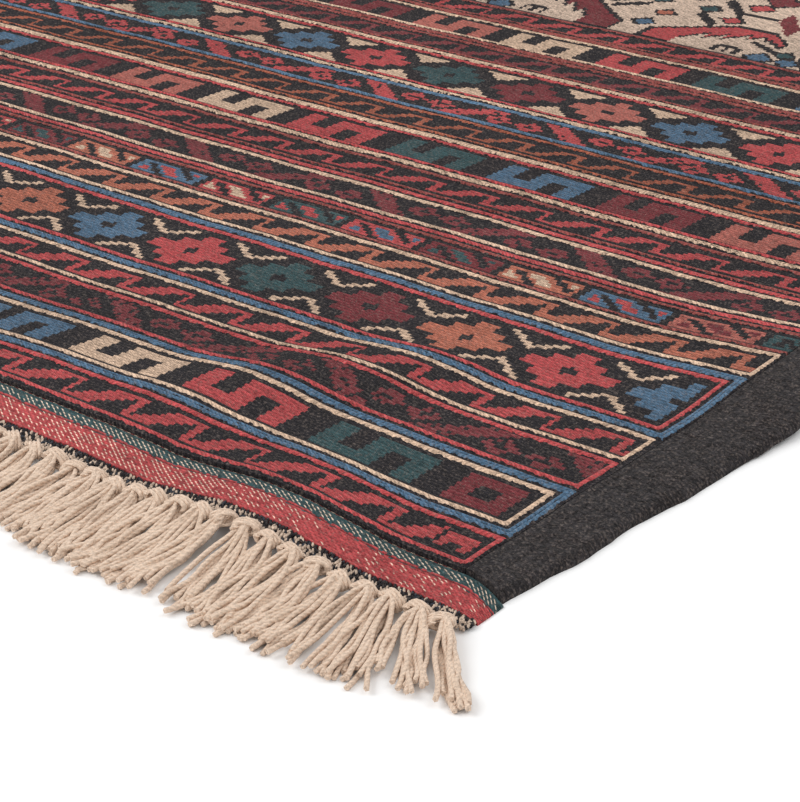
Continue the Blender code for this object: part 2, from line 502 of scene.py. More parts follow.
@dataclass
class Cloth:
    """A strip of cloth as one closed body, fine above and coarse below."""

    name: str
    across: np.ndarray  # stations along X, increasing
    deep: np.ndarray  # stations along Y, increasing
    base: float  # height of its underside over the lie
    bottom_step: int = 8

    def build(self, top: np.ndarray, weave: np.ndarray) -> bpy.types.Object:
        """Makes the mesh object.

        Args:
            top: Height of the upper face over the base, one value for each station along Y and X.
            weave: The Weave map's place of each of those points.

        Returns:
            The object, with its Weave map.
        """
        x, y = np.meshgrid(self.across, self.deep)
        x, y = self.place(x, y)
        floor = lie(x, y) + self.base
        upper = np.stack([x, y, floor + top], -1)
        keep = np.unique(np.append(np.arange(0, len(self.deep), self.bottom_step), len(self.deep) - 1))
        lower = np.stack([x, y, floor], -1)[keep]
        points = np.concatenate([upper.reshape(-1, 3), lower.reshape(-1, 3)])
        places = np.concatenate([weave.reshape(-1, 2), weave[keep].reshape(-1, 2)])
        above = np.arange(upper[..., 0].size).reshape(upper.shape[:2])
        below = np.arange(lower[..., 0].size).reshape(lower.shape[:2]) + above.size
        faces = self.quads(above) + [face[::-1] for face in self.quads(below)]
        for up, low, turned in ((above[0], below[0], False), (above[-1], below[-1], True)):
            wall = np.stack([low[:-1], low[1:], up[1:], up[:-1]], -1).tolist()
            faces += [face[::-1] for face in wall] if turned else wall
        for column, turned in ((0, True), (-1, False)):
            for i in range(len(keep) - 1):
                rim = above[keep[i] : keep[i + 1] + 1, column].tolist()
                wall = [int(below[i, column]), int(below[i + 1, column])] + rim[::-1]
                faces.append(wall[::-1] if turned else wall)
        mesh = bpy.data.meshes.new(self.name)
        mesh.from_pydata(points.tolist(), [], faces)
        loops = np.empty(len(mesh.loops), np.int32)
        mesh.loops.foreach_get("vertex_index", loops)
        mesh.uv_layers.new(name="Weave").data.foreach_set("uv", places[loops].ravel().astype(np.float32))
        bake = self.bake_places(mesh, loops, keep)
        mesh.uv_layers.new(name="OFBake").data.foreach_set("uv", bake.ravel().astype(np.float32))
        mesh.shade_smooth()
        mesh.set_sharp_from_angle(angle=SHARP_ANGLE)
        piece = bpy.data.objects.new(self.name, mesh)
        bpy.context.scene.collection.objects.link(piece)
        return piece

    def bake_places(self, mesh: bpy.types.Mesh, loops: np.ndarray, keep: np.ndarray) -> np.ndarray:
        """Folds the upper face into rows that fill a square, with the underside as one more row.

        Args:
            mesh: The finished mesh.
            loops: Vertex number of each face corner.
            keep: Rows of the grid that the underside keeps.

        Returns:
            A place in the square for each face corner.
        """
        top_faces = (len(self.deep) - 1) * (len(self.across) - 1)
        x, y = np.meshgrid(self.across, self.deep)
        x = np.concatenate([x.ravel(), x[keep].ravel()])[loops]
        y = np.concatenate([y.ravel(), y[keep].ravel()])[loops]
        long, short = (x, y) if np.ptp(x) >= np.ptp(y) else (y, x)
        ratio = np.ptp(long) / np.ptp(short)
        count = max(1, round((math.sqrt(1.0 + 4.0 * ratio) - 1.0) / 2.0))
        sizes = np.array([face.loop_total for face in mesh.polygons])
        starts = np.cumsum(sizes) - sizes
        centres = np.add.reduceat(long, starts) / sizes
        rows = np.clip(((centres - long.min()) / np.ptp(long) * count).astype(int), 0, count - 1)
        rows[top_faces:] = count
        row = np.repeat(rows, sizes)
        place = np.empty((len(loops), 2))
        for number in range(count + 1):
            here = row == number
            part = long[here]
            place[here, 0] = EDGE_ROOM + (1.0 - 2 * EDGE_ROOM) * (part - part.min()) / np.ptp(part)
        share = (short - short.min()) / np.ptp(short)
        place[:, 1] = (row + ROW_ROOM + (1.0 - 2 * ROW_ROOM) * share) / (count + 1)
        return place

    def place(self, x: np.ndarray, y: np.ndarray) -> tuple[np.ndarray, np.ndarray]:
        """Where the grid's points lie in the plane."""
        return drift(x, y)

    @staticmethod
    def quads(grid: np.ndarray) -> list[list[int]]:
        """Faces of a grid of vertex numbers, facing up."""
        corners = (grid[:-1, :-1], grid[:-1, 1:], grid[1:, 1:], grid[1:, :-1])
        return np.stack(corners, -1).reshape(-1, 4).tolist()


# ------------------------------------------------------------------ soumak bands


STITCH = 2.3  # mm, one wrap over two warps
ROW = 2.6  # mm, one row of soumak
STEP = 0.9  # mm, how far a motif's edge is jogged from row to row
SLANT = 8.4  # mm, how far a stitch leans over its row
CORD_WRAP = 2.6  # mm, one wrap of an outline cord
CORD_RANGE = 30.0  # mm, the widest border that the cords' colours span
FRAY = 1.7  # mm, how far a cord's edge wanders


def crown(across: Reading, along: Reading, sides: float = 2.0, ends: float = 2.0) -> Reading:
    """Relief of one stitch: 1 in its middle, lower towards its sides and ends."""
    return 1.0 - across * across * sides - along * along * ends


class StitchGrid:
    """Where the stitches of a soumak ground lie."""

    def __init__(self, dye: Dyeing, u: Reading, v: Reading, pitch: float) -> None:
        """Counts the rows and stitches.

        Args:
            dye: The material in the making.
            u: Place along the rows, in mm.
            v: Place across them, in mm from the first one.
            pitch: Depth of a row, in mm.
        """
        self.dye = dye
        self.row, self.rise = (v / pitch).cell()
        jogged = (u + (self.row % 2.0 - 0.5) * STEP) / STITCH
        self.a = (jogged.floor() + 0.5) * STITCH
        self.b = (self.row + 0.5) * pitch
        self.stitch, self.across = ((u - self.rise * SLANT) / STITCH).cell()

    def tint(self) -> Reading:
        """A random number for each stitch."""
        return self.dye.chance(self.stitch, self.row, 1.0)

    def relief(self) -> Reading:
        """Height of the slanting stitches."""
        return crown(self.across, self.rise)


class Motif(Enum):
    """What a band's ground is filled with."""

    KEY = "key"
    LEAF = "leaf"
    LATTICE = "lattice"
    STAR = "star"
    BOX = "box"


@dataclass(frozen=True)
class Cord:
    """One raised outline row that runs round a band."""

    yarn: Yarn
    width: float  # mm
    gap: float = 2.0  # mm of dark ground between it and the next one inwards
    strands: int = 1


@dataclass(frozen=True)
class Band:
    """One soumak band: its outline cords from the outside in, and the motif on its dark ground."""

    name: str
    motif: Motif
    slot: str
    yarns: tuple[Yarn, ...]
    cords: tuple[Cord, ...]
    margins: tuple[float, float, float] = (1.0, 1.0, 1.0)  # mm outside the cords: near, far, at the sides
    phase: float = 0.0  # mm from the soumak's right edge to a motif's left end
    closed: bool = True  # whether the cords turn and close the band at its ends
    wear: float = 0.06  # share of a lattice's stitches that show dark
    slim: float = 0.0  # mm taken off each side of a leaf
    block: float = 0.0  # mm from the right edge within which a small block stands for the last leaf

    def border(self) -> float:
        """Depth of all the cords and their gaps, in mm."""
        return sum(cord.width for cord in self.cords) + sum(cord.gap for cord in self.cords[:-1])


def measured_depth(node: str) -> float:
    """Depth of a node of the frame, in mm."""
    low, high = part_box(node)
    return (high[1] - low[1]) / MM


@dataclass
class BandWeaver:
    """Builds and dresses one band at both ends of the rug."""

    band: Band
    relief: float = 1.35  # mm, height of an outline cord over the ground rows
    cloth: float = 1.9  # mm, thickness in the valleys between rows
    crest: float = 0.45  # mm, height of a ground row over its valleys
    bed: float = 0.1  # mm, height of the bed that the cords lie on, over the valleys
    blunt: float = 0.6  # power that rounds the rows and cords; less is blunter
    column: float = 11.0  # mm, spacing of the mesh columns
    turn_column: float = 0.8  # mm, the same where the cords turn
    depth: float = field(init=False)
    rows: int = field(init=False)

    def __post_init__(self) -> None:
        """Takes the band's depth from the frame and counts its rows."""
        self.depth = measured_depth(f"{self.band.name}_front") + CLEARANCE / MM
        self.rows = max(1, round(self.ground()[2] / ROW))

    def ground(self) -> tuple[float, float, float]:
        """Start, stop and depth of the dark ground, in mm from the band's near edge.

        Returns:
            The start, the stop and the depth.
        """
        start = self.band.margins[0] + self.band.border()
        stop = self.depth - self.band.margins[1] - self.band.border()
        return start, stop, stop - start

    def inward(self, across: np.ndarray, deep: np.ndarray) -> tuple[np.ndarray, np.ndarray]:
        """Distance into the band's frame of cords.

        Args:
            across: Places from the soumak's right edge, in mm.
            deep: Places from the band's near edge, in mm.

        Returns:
            The distance from its long edges and from its closed ends, in mm.
        """
        near, far, side = self.band.margins
        from_edges = np.minimum(deep - near, self.depth - far - deep)
        from_ends = np.minimum(across, SOUMAK_WIDTH - across) - side
        return from_edges, from_ends if self.band.closed else np.full_like(from_ends, np.inf)

    def heights(self, across: np.ndarray, deep: np.ndarray) -> np.ndarray:
        """Height of the upper face.

        Args:
            across: Places from the soumak's right edge, in mm.
            deep: Places from the band's near edge, in mm.

        Returns:
            The height over the base at each place, in metres.
        """
        start, _, ground = self.ground()
        phase = (deep - start) / ground * self.rows
        height = self.cloth + self.crest * (0.5 - 0.5 * np.cos(2 * math.pi * phase)) ** self.blunt
        from_edges, from_ends = self.inward(across, deep)
        inside = np.minimum(from_edges, from_ends)
        height = np.where(inside < self.band.border(), self.cloth + self.bed, height)
        start = 0.0
        for cord in self.band.cords:
            share = (inside - start) / cord.width
            strand = np.abs(np.sin(math.pi * cord.strands * np.clip(share, 0.0, 1.0))) ** self.blunt
            height = height + np.where((share > 0) & (share < 1), strand * self.relief, 0.0)
            start += cord.width + cord.gap
        return height * MM

    def deep_stations(self) -> np.ndarray:
        """Stations from the band's near edge to its far one, in mm: four to a cord, two to a row.

        Returns:
            The stations.
        """
        near, far, _ = self.band.margins
        border = [0.0, near]
        place = near
        for cord in self.band.cords:
            border += [place + cord.width * i / (4 * cord.strands) for i in range(1, 4 * cord.strands + 1)]
            place += cord.width
            if cord is not self.band.cords[-1]:
                border += [place + cord.gap / 2, place + cord.gap]
                place += cord.gap
        start, stop, _ = self.ground()
        count = 2 * self.rows
        ground = [start + (stop - start) * i / count for i in range(count + 1)]
        shift = self.depth - far + near
        mirrored = [shift - value for value in border[1:]] + [self.depth]
        return np.unique(np.round(border + ground + mirrored, 4))

    def across_stations(self) -> np.ndarray:
        """Stations from the soumak's right edge to its left one, in mm, finest where the cords turn.

        Returns:
            The stations.
        """
        turn = math.ceil(self.band.margins[2] + self.band.border()) + 1.0 if self.band.closed else 1.0
        fine = list(np.arange(0.0, turn, self.turn_column))
        middle = stations(turn, SOUMAK_WIDTH - turn, self.column)
        return np.array(fine + middle + [SOUMAK_WIDTH - value for value in ([turn] + fine[::-1])])

    def build(self, end_name: str) -> bpy.types.Object:
        """Makes the band at one end of the rug.

        Args:
            end_name: front or back.

        Returns:
            The band's closed cloth body.
        """
        end = ENDS[end_name]
        low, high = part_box(f"{self.band.name}_{end_name}")
        from_near = self.deep_stations()
        from_right = self.across_stations()
        inner = 1.0 - CLEARANCE / MM / self.depth
        reach = (high[1] + low[1]) / 2
        y = reach - end * (from_near - self.depth / 2) * inner * MM
        x = (SOUMAK_EDGE / MM - from_right) * MM * (1.0 - CLEARANCE / 2 / SOUMAK_EDGE)
        order_y, order_x = np.argsort(y), np.argsort(x)
        across, deep = np.meshgrid(from_right[order_x], from_near[order_y])
        cloth = Cloth(f"{self.band.name}_{end_name}_weave", x[order_x], y[order_y], SOUMAK_BASE)
        return cloth.build(self.heights(across, deep), np.stack([across, deep], -1) * MM)

    # -------------------------------------------------------------- colours

    def dress(self) -> bpy.types.Material:
        """Makes the band's material: cords, motifs, stitches and wool.

        Returns:
            The finished material.
        """
        band = self.band
        dye = Dyeing(f"{band.name}_wool")
        u, v = dye.weave_place()
        near, far, side = band.margins
        start, _, ground = self.ground()
        from_edges = (v - near).least(self.depth - far - v)
        from_ends = u.least(SOUMAK_WIDTH - u) - side
        inside = from_edges.least(from_ends) if band.closed else from_edges
        grid = StitchGrid(dye, u, v - start, ground / self.rows)
        colour = getattr(self, f"{band.motif.value}_pattern")(dye, grid.a, grid.b, ground)
        in_border = inside < band.border()
        colour = dye.over(in_border, self.cord_colours(dye, inside), colour)
        along = u - inside * 1.5
        if band.closed:
            turned = from_ends < from_edges
            along = along * (1 - turned) + (v + inside * 0.5) * turned
        wrap, twist = (along / CORD_WRAP).cell()
        tint = grid.tint() * (1 - in_border) + dye.chance(wrap, 7.0, 3.0) * in_border
        relief = grid.relief() * (1 - in_border) + (1.0 - twist * twist * 2.2) * in_border
        return WoolSurface(dye).finish(colour, tint, relief)

    def cord_colours(self, dye: Dyeing, inside: Reading) -> bpy.types.NodeSocket:
        """Colours of the outline cords, with fuzzy edges and painted shade on the flanks of each strand.

        Args:
            dye: The material in the making.
            inside: Distance into the band's frame of cords, in mm.

        Returns:
            The colour.
        """
        frayed = inside + (dye.noise(330.0, 3.0) - 0.5) * FRAY
        stops = [(0.0, INK.colour)]
        at = 1.0
        for cord in self.band.cords:
            each = cord.width / cord.strands
            # The yarn's colour stops short of each strand's sides. The ink left there is painted shade on
            # the flanks, and also between the two strands of a double cord.
            half = each * (0.40 if cord.strands == 1 else 0.42)
            for strand in range(cord.strands):
                centre = at + each * (strand + 0.5)
                stops.append(((centre - half) / CORD_RANGE, cord.yarn.colour))
                stops.append(((centre + half) / CORD_RANGE, INK.colour))
            at += cord.width + cord.gap
        return dye.ramp((frayed + 1.0) / CORD_RANGE, stops)

    def key_pattern(self, dye: Dyeing, a: Reading, b: Reading, ground: float) -> bpy.types.NodeSocket:
        """Stepped S keys, with a hollow square beside the right edge.

        Args:
            dye: The material in the making.
            a: Place of the stitch along the band, in mm.
            b: Its place over the band's ground, in mm.
            ground: Depth of that ground, in mm.

        Returns:
            The colour.
        """
        pitch, length, height = 74.6, 57.0, 27.5
        run = self.band.phase - a
        number = (run / pitch).floor()
        x = run % pitch
        y = b - (ground - height) / 2
        tall = y.within(0.0, height)
        notch = x.within(11.5, 22.5) * (y > 9.2) | x.within(34.5, 45.5) * (y < 18.3)
        mask = x.within(0.0, length) * tall * (1 - notch)
        first = run > pitch
        square = a.within(15.0, 48.0) * tall * (1 - a.near(31.5, 5.5) * y.near(height / 2, 4.8))
        mask = mask * (1 - first) + square * first
        return dye.over(mask, dye.choice(number * -1.0 + 1.0, self.band.yarns), INK)

    def leaf_pattern(self, dye: Dyeing, a: Reading, b: Reading, ground: float) -> bpy.types.NodeSocket:
        """Running leaves: stepped slanting bars joined by a stem.

        Args:
            dye: The material in the making.
            a: Place of the stitch along the band, in mm.
            b: Its place over the band's ground, in mm.
            ground: Depth of that ground, in mm.

        Returns:
            The colour.
        """
        pitch, height = 37.5, 16.5
        x = (self.band.phase - a) % pitch
        y = b - (ground - height) / 2
        tall = y.within(0.0, height)
        bar = (y < x * 0.85 - 0.9 - self.band.slim) * (y > x * 0.80 - 12.4 + self.band.slim)
        foot = x.within(0.0, 16.0) * (y < 3.2)
        head = x.within(20.0, 37.5) * (y > 13.4)
        stem = (x < 1.7) | (x > 35.4)
        mask = (bar | foot | head | stem) * tall
        if self.band.block:
            last = a < self.band.block
            small = a.within(8.0, self.band.block - 2.5) * y.within(3.0, 14.0)
            small = small * (1 - a.near(15.0, 2.4) * (y < 7.0))
            mask = mask * (1 - last) + small * last
        return dye.over(mask, self.band.yarns[0], INK)

    def lattice_pattern(self, dye: Dyeing, a: Reading, b: Reading, ground: float) -> bpy.types.NodeSocket:
        """Thick zigzag bars with small hollow diamonds in the angles.

        Args:
            dye: The material in the making.
            a: Place of the stitch along the band, in mm.
            b: Its place over the band's ground, in mm.
            ground: Depth of that ground, in mm.

        Returns:
            The colour.
        """
        pitch = 140.0
        x = (self.band.phase - a) % pitch
        share = b / ground
        shapes = []
        for foot, head in ((29.0, 0.0), (169.0, 140.0), (67.0, 101.0)):
            shapes.append(abs(x - foot - share * (head - foot)) < 8.5)
        for centre, level in ((38.0, 0.62), (60.0, 0.58), (106.0, 0.42), (129.0, 0.40)):
            size = abs(x - centre) / 10.5 + abs(b - level * ground) / 8.4
            shapes.append((size < 1.0) * (size > 0.36))
        worn = dye.chance((a / STITCH).floor(), (b / ROW).floor(), 5.0) < self.band.wear
        return dye.over(reduce(or_, shapes) * (1 - worn), self.band.yarns[0], INK)

    def star_pattern(self, dye: Dyeing, a: Reading, b: Reading, ground: float) -> bpy.types.NodeSocket:
        """Stepped stars in turn of colour, with ivory chevrons between them.

        Args:
            dye: The material in the making.
            a: Place of the stitch along the band, in mm.
            b: Its place over the band's ground, in mm.
            ground: Depth of that ground, in mm.

        Returns:
            The colour.
        """
        pitch = 60.5
        run = self.band.phase - a
        number = (run / pitch).floor()
        x = abs(run % pitch - pitch / 2)
        y = abs(b - ground / 2)
        star = (x < 5.6) * (y < 21.5) | (x < 15.2) * (y < 13.2) | (x < 25.5) * (y < 4.8)
        star = star * (a > 13.0)
        eye = x / 5.8 + y / 4.8 < 1.0
        colour = dye.over(star, dye.choice(number * -1.0, self.band.yarns), INK)
        colour = dye.over(eye, INK, colour)
        gap = pitch / 2 - x
        depth = ground / 2 - y
        if len(self.band.cords) > 1 and self.band.cords[0].yarn is BLUE:
            chevron = abs(depth - 15.2 + gap * 0.72) < 2.2
            chevron = chevron * (gap < 16.5) * (depth > 1.5)
        else:
            chevron = (depth < 16.0 - gap * 0.85) * (depth > 1.6)
        return dye.over(chevron * (1 - star), IVORY, colour)

    def box_pattern(self, dye: Dyeing, a: Reading, b: Reading, ground: float) -> bpy.types.NodeSocket:
        """Small boxes with dark slanting stripes, in pairs of colours.

        Args:
            dye: The material in the making.
            a: Place of the stitch along the band, in mm.
            b: Its place over the band's ground, in mm.
            ground: Depth of that ground, in mm.

        Returns:
            The colour.
        """
        pitch, length, height = 52.3, 47.5, 19.0
        run = self.band.phase - a
        number = (run / pitch).floor() * -1.0
        x = run % pitch
        y = b - (ground - height) / 2
        slope = x + y * 1.2
        box = x.within(0.0, length) * y.within(0.0, height)
        low_stripe = slope.near(24.3, 3.3) * (y < 16.0) * (x > 3.6)
        high_stripe = slope.near(50.0, 3.3) * (y > 3.0) * (x < length - 3.6)
        middle = slope.near(35.6, 4.8) * y.within(2.8, 16.2)
        corners = (slope < 18.0) * y.within(2.8, 12.0) * (x > 3.6)
        corners = corners | (slope > 56.0) * y.within(7.0, 16.2) * (x < length - 3.0)
        colour = dye.over(box, dye.choice(number, self.band.yarns[::2]), INK)
        colour = dye.over(middle | corners, dye.choice(number, self.band.yarns[1::2]), colour)
        return dye.over(low_stripe | high_stripe, INK, colour)


@dataclass
class WoolSurface:
    """What all the wool shares: dye that varies by stitch and by batch, and fibres on the surface."""

    dye: Dyeing
    depth: float = 0.00085  # metres of relief
    fuzz: float = 0.45  # share of the fibres in it

    def finish(self, colour: bpy.types.NodeSocket, tint: Reading, stitches: Reading) -> bpy.types.Material:
        """Adds the dye's variation, the painted shadow between stitches, the fibres and painted highlights
        on their tips.

        Args:
            colour: Pattern of yarn colours.
            tint: Random number of each stitch.
            stitches: Relief of the stitches, 1 on their crowns.

        Returns:
            The finished material.
        """
        dye = self.dye
        fibres = dye.noise(1500.0, 3.0)
        tufts = dye.noise(520.0, 2.0)
        batch = dye.noise(9.0, 2.0)
        strength = 0.62 + tint * 0.34 + (batch - 0.5) * 0.5 + (fibres - 0.5) * 1.3 + (tufts - 0.5) * 1.1
        strength = strength.most(0.25) * (0.46 + stitches * 0.62)
        height = stitches * (1.0 - self.fuzz) + (fibres + tufts) * 0.5 * self.fuzz
        # Lighter specks on the fibre tips: painted highlights.
        specks = (dye.noise(820.0, 4.0) - 0.50).most(0.0) * 2.2
        with_fibre_highlights = dye.over(specks.least(0.34), FIBRE_HIGHLIGHT, colour)
        return dye.finish(dye.shade(with_fibre_highlights, strength), height, self.depth)


BANDS = (
    Band("leaf_band_1", Motif.LEAF, "soumak_madder", (MADDER,),
         (Cord(MADDER, 3.1),), (1.4, 0.7, 0.6), 48.0, block=26.0),
    Band("key_band_1", Motif.KEY, "soumak_blue", (WINE, TEAL, MADDER, IVORY, BLUE, SALMON),
         (Cord(BLUE, 4.2, 2.0, 2), Cord(IVORY, 3.2)), (0.8, 1.0, 1.0), 120.0),
    Band("lattice_band_1", Motif.LATTICE, "soumak_wine", (CLARET,),
         (Cord(MADDER, 3.4),), (1.0, 0.8, 2.0), 158.0, wear=0.16),
    Band("leaf_band_2", Motif.LEAF, "soumak_madder", (MADDER,),
         (Cord(IVORY, 3.0),), (0.8, 0.8, 2.0), 12.0),
    Band("star_band_1", Motif.STAR, "soumak_blue", (BLUE, MADDER, ORANGE, WINE, TEAL, MADDER, BLUE, ORANGE),
         (Cord(BLUE, 4.2, 1.8, 2), Cord(MADDER, 3.2)), (0.7, 1.0, 0.6), 46.3),
    Band("leaf_band_3", Motif.LEAF, "soumak_rust", (ORANGE,),
         (Cord(IVORY, 3.0),), (1.0, 1.0, 0.6), 51.0),
    Band("box_band", Motif.BOX, "soumak_teal",
         (SALMON, WINE, BLUE, MADDER, ORANGE, IVORY, WINE, TEAL, MADDER, BLUE, TEAL, MADDER,
          MADDER, IVORY, BLUE, MADDER, ORANGE, IVORY, WINE, TEAL, MADDER, IVORY, TEAL, INK),
         (Cord(BRICK, 2.4),), (0.3, 1.0, 1.0), 68.5, False),
    Band("lattice_band_2", Motif.LATTICE, "soumak_wine", (CLARET,),
         (Cord(MADDER, 3.8, 2.4), Cord(IVORY, 3.0)), (1.0, 1.0, 1.0), 155.0),
    Band("leaf_band_4", Motif.LEAF, "soumak_madder", (MADDER,),
         (Cord(BRICK, 2.2),), (1.2, 1.4, 1.0), 51.0, slim=0.8),
    Band("key_band_2", Motif.KEY, "soumak_madder", (IVORY, SALMON, WINE, BLUE, TEAL, MADDER),
         (Cord(IVORY, 3.6, 2.4, 2), Cord(MADDER, 2.5)), (1.4, 1.4, 1.0), 115.0),
    Band("leaf_band_5", Motif.LEAF, "soumak_rust", (RUST,),
         (Cord(RUST, 2.2),), (1.4, 1.2, 1.0), 51.0, slim=3.0),
    Band("lattice_band_3", Motif.LATTICE, "soumak_madder", (MADDER,),
         (Cord(BLUE, 3.8),), (1.0, 0.8, 1.0), 144.0),
    Band("star_band_2", Motif.STAR, "soumak_blue",
         (SALMON, TEAL, MADDER, BLUE, SALMON, WINE, TEAL, MADDER, BLUE),
         (Cord(IVORY, 2.8, 2.6, 2), Cord(MADDER, 2.2)), (0.9, 0.9, 1.0), 62.0),
    Band("leaf_band_6", Motif.LEAF, "soumak_wine", (CLARET,),
         (Cord(BRICK, 2.1),), (1.0, 1.3, 1.0), 51.0, slim=2.0),
    Band("key_band_3", Motif.KEY, "soumak_teal", (SALMON, WINE, BLUE, TEAL, MADDER, IVORY),
         (Cord(BRICK, 3.8, 2.4, 2), Cord(IVORY, 2.5)), (1.2, 1.0, 1.0), 114.8),
    Band("leaf_band_7", Motif.LEAF, "soumak_madder", (MADDER,),
         (Cord(BRICK, 2.1),), (1.0, 4.6, 1.0), 51.0, slim=1.0),
)


# ------------------------------------------------------------------ field


@dataclass
class FieldWeaver:
    """The ivory field between the panels, in strips that together stand for one node."""

    strips: int = 6
    cloth: float = 1.9  # mm, thickness in the valleys between rows
    crest: float = 0.45  # mm, height of a row over its valleys
    column: float = 11.0  # mm, spacing of the mesh columns
    across: float = 251.0  # mm, the pattern's repeat along a row
    axis: float = 364.0  # mm from the right edge to a line of symmetry
    repeats: int = 4  # of the pattern from panel to panel
    rim: float = 5.0  # mm, dark outline of a leaf
    outline: float = 3.4  # mm, dark outline of a diamond

    def __post_init__(self) -> None:
        """Takes the field's depth from the frame and counts its rows."""
        self.depth = measured_depth("centre_field")
        self.rows = round(self.depth / ROW / self.strips) * self.strips
        self.pitch = self.depth / self.rows

    def build(self) -> list[bpy.types.Object]:
        """Makes the strips, each a closed cloth body, with a Weave map that counts from the front panel.

        Returns:
            The finished objects.
        """
        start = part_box("centre_field")[0][1]
        each = self.rows // self.strips
        from_right = np.array(stations(0.0, SOUMAK_WIDTH, self.column) + [SOUMAK_WIDTH])
        x = (SOUMAK_EDGE / MM - from_right) * MM * (1.0 - CLEARANCE / 2 / SOUMAK_EDGE)
        order = np.argsort(x)
        made = []
        for strip in range(self.strips):
            counts = np.arange(2 * each + 1) / 2 + strip * each
            from_near = counts * self.pitch
            y = start + from_near * MM
            y[0] += CLEARANCE / 4
            y[-1] -= CLEARANCE / 4
            across, deep = np.meshgrid(from_right[order], from_near)
            crest = self.crest * (0.5 - 0.5 * np.cos(2 * math.pi * np.meshgrid(from_right, counts)[1]))
            cloth = Cloth(f"centre_field_weave_{strip + 1}", x[order], y, SOUMAK_BASE)
            made.append(cloth.build((self.cloth + crest) * MM, np.stack([across, deep], -1) * MM))
        return made

    def dress(self) -> bpy.types.Material:
        """Makes the field's material: leaves, hooks and diamonds on ivory.

        Returns:
            The finished material.
        """
        dye = Dyeing("field_wool")
        u, v = dye.weave_place()
        grid = StitchGrid(dye, u, v, self.pitch)
        return WoolSurface(dye).finish(self.pattern(dye, grid.a, grid.b), grid.tint(), grid.relief())

    def pattern(self, dye: Dyeing, a: Reading, b: Reading) -> bpy.types.NodeSocket:
        """Mirrored serrated leaves, combs, hooks and diamonds, repeated along and across.

        Args:
            dye: The material in the making.
            a: Place of the stitch along its row, in mm.
            b: Place of the row, in mm from the front panel.

        Returns:
            The colour.
        """
        along = self.depth / self.repeats
        from_axis = (a - self.axis + self.across / 2) % self.across - self.across / 2
        x = abs(from_axis)
        y = along / 2 - abs(b % along - along / 2)
        top = (x * 0.86 + 8.0).least(57.0).least(153.8 - x * 1.1)
        tooth = ((x - 38.0) / 12.5 % 1.0) * 13.0
        under = (x > 38.0) * (x * 0.52 - 2.5 + tooth).least(114.0 - x * 0.75)
        leaf = (y < top) * (y > under) * (y > 2.0) * x.within(14.0, 103.0)
        rim = (y < top + self.rim) * (y > under - self.rim) * x.within(10.0, 106.5)
        colour = dye.over(rim, INK, FIELD_IVORY)
        colour = dye.over(leaf, dye.over(from_axis > 0.0, WINE, MADDER), colour)
        teeth = ((x - 67.5) % 8.0 < 3.4) * x.within(67.5, 87.0) * y.within(2.0, 14.5)
        comb = x.within(70.0, 84.5) * y.within(13.5, 17.5) | teeth
        branch = (abs(y + x * 0.55 - 81.0) < 3.0) * x.within(84.0, 122.0)
        hook = (abs(y + x * 0.9 - 89.0) < 5.2) * x.within(19.0, 41.0)
        hook = hook | (abs(y + x - 129.5) < 5.6) * x.within(19.0, 46.0)
        hook = hook | x.within(42.0, 72.0) * y.near(88.0, 3.6)
        colour = dye.over(comb | branch | hook, INK, colour)
        stripe = (abs(y + x * 1.35 - 196.0) < 10.0) * x.within(73.0, 95.0)
        colour = dye.over(stripe, WINE, colour)
        for centre_x, centre_y, size, yarn in (
            (0.0, 30.0, 7.4, BLUE), (0.0, 57.0, 6.8, ORANGE), (20.0, 84.0, 7.2, TEAL),
            (47.0, 69.0, 7.6, MADDER), (47.0, 107.0, 8.8, MADDER), (104.0, 6.0, 9.5, BLUE),
            (116.0, 21.0, 6.5, TEAL), (125.5, 8.0, 8.0, BLUE), (52.0, 140.0, 24.0, WINE),
            (0.0, 112.0, 14.0, TEAL), (98.0, 112.0, 13.0, MADDER), (125.5, 74.0, 16.0, WINE),
        ):
            from_centre = abs(x - centre_x) / size + abs(y - centre_y) / size
            colour = dye.over(from_centre < 1.0 + self.outline / size, INK, colour)
            colour = dye.over(from_centre < 1.0, yarn, colour)
        return colour


# ------------------------------------------------------------------ webs, selvedges and ground


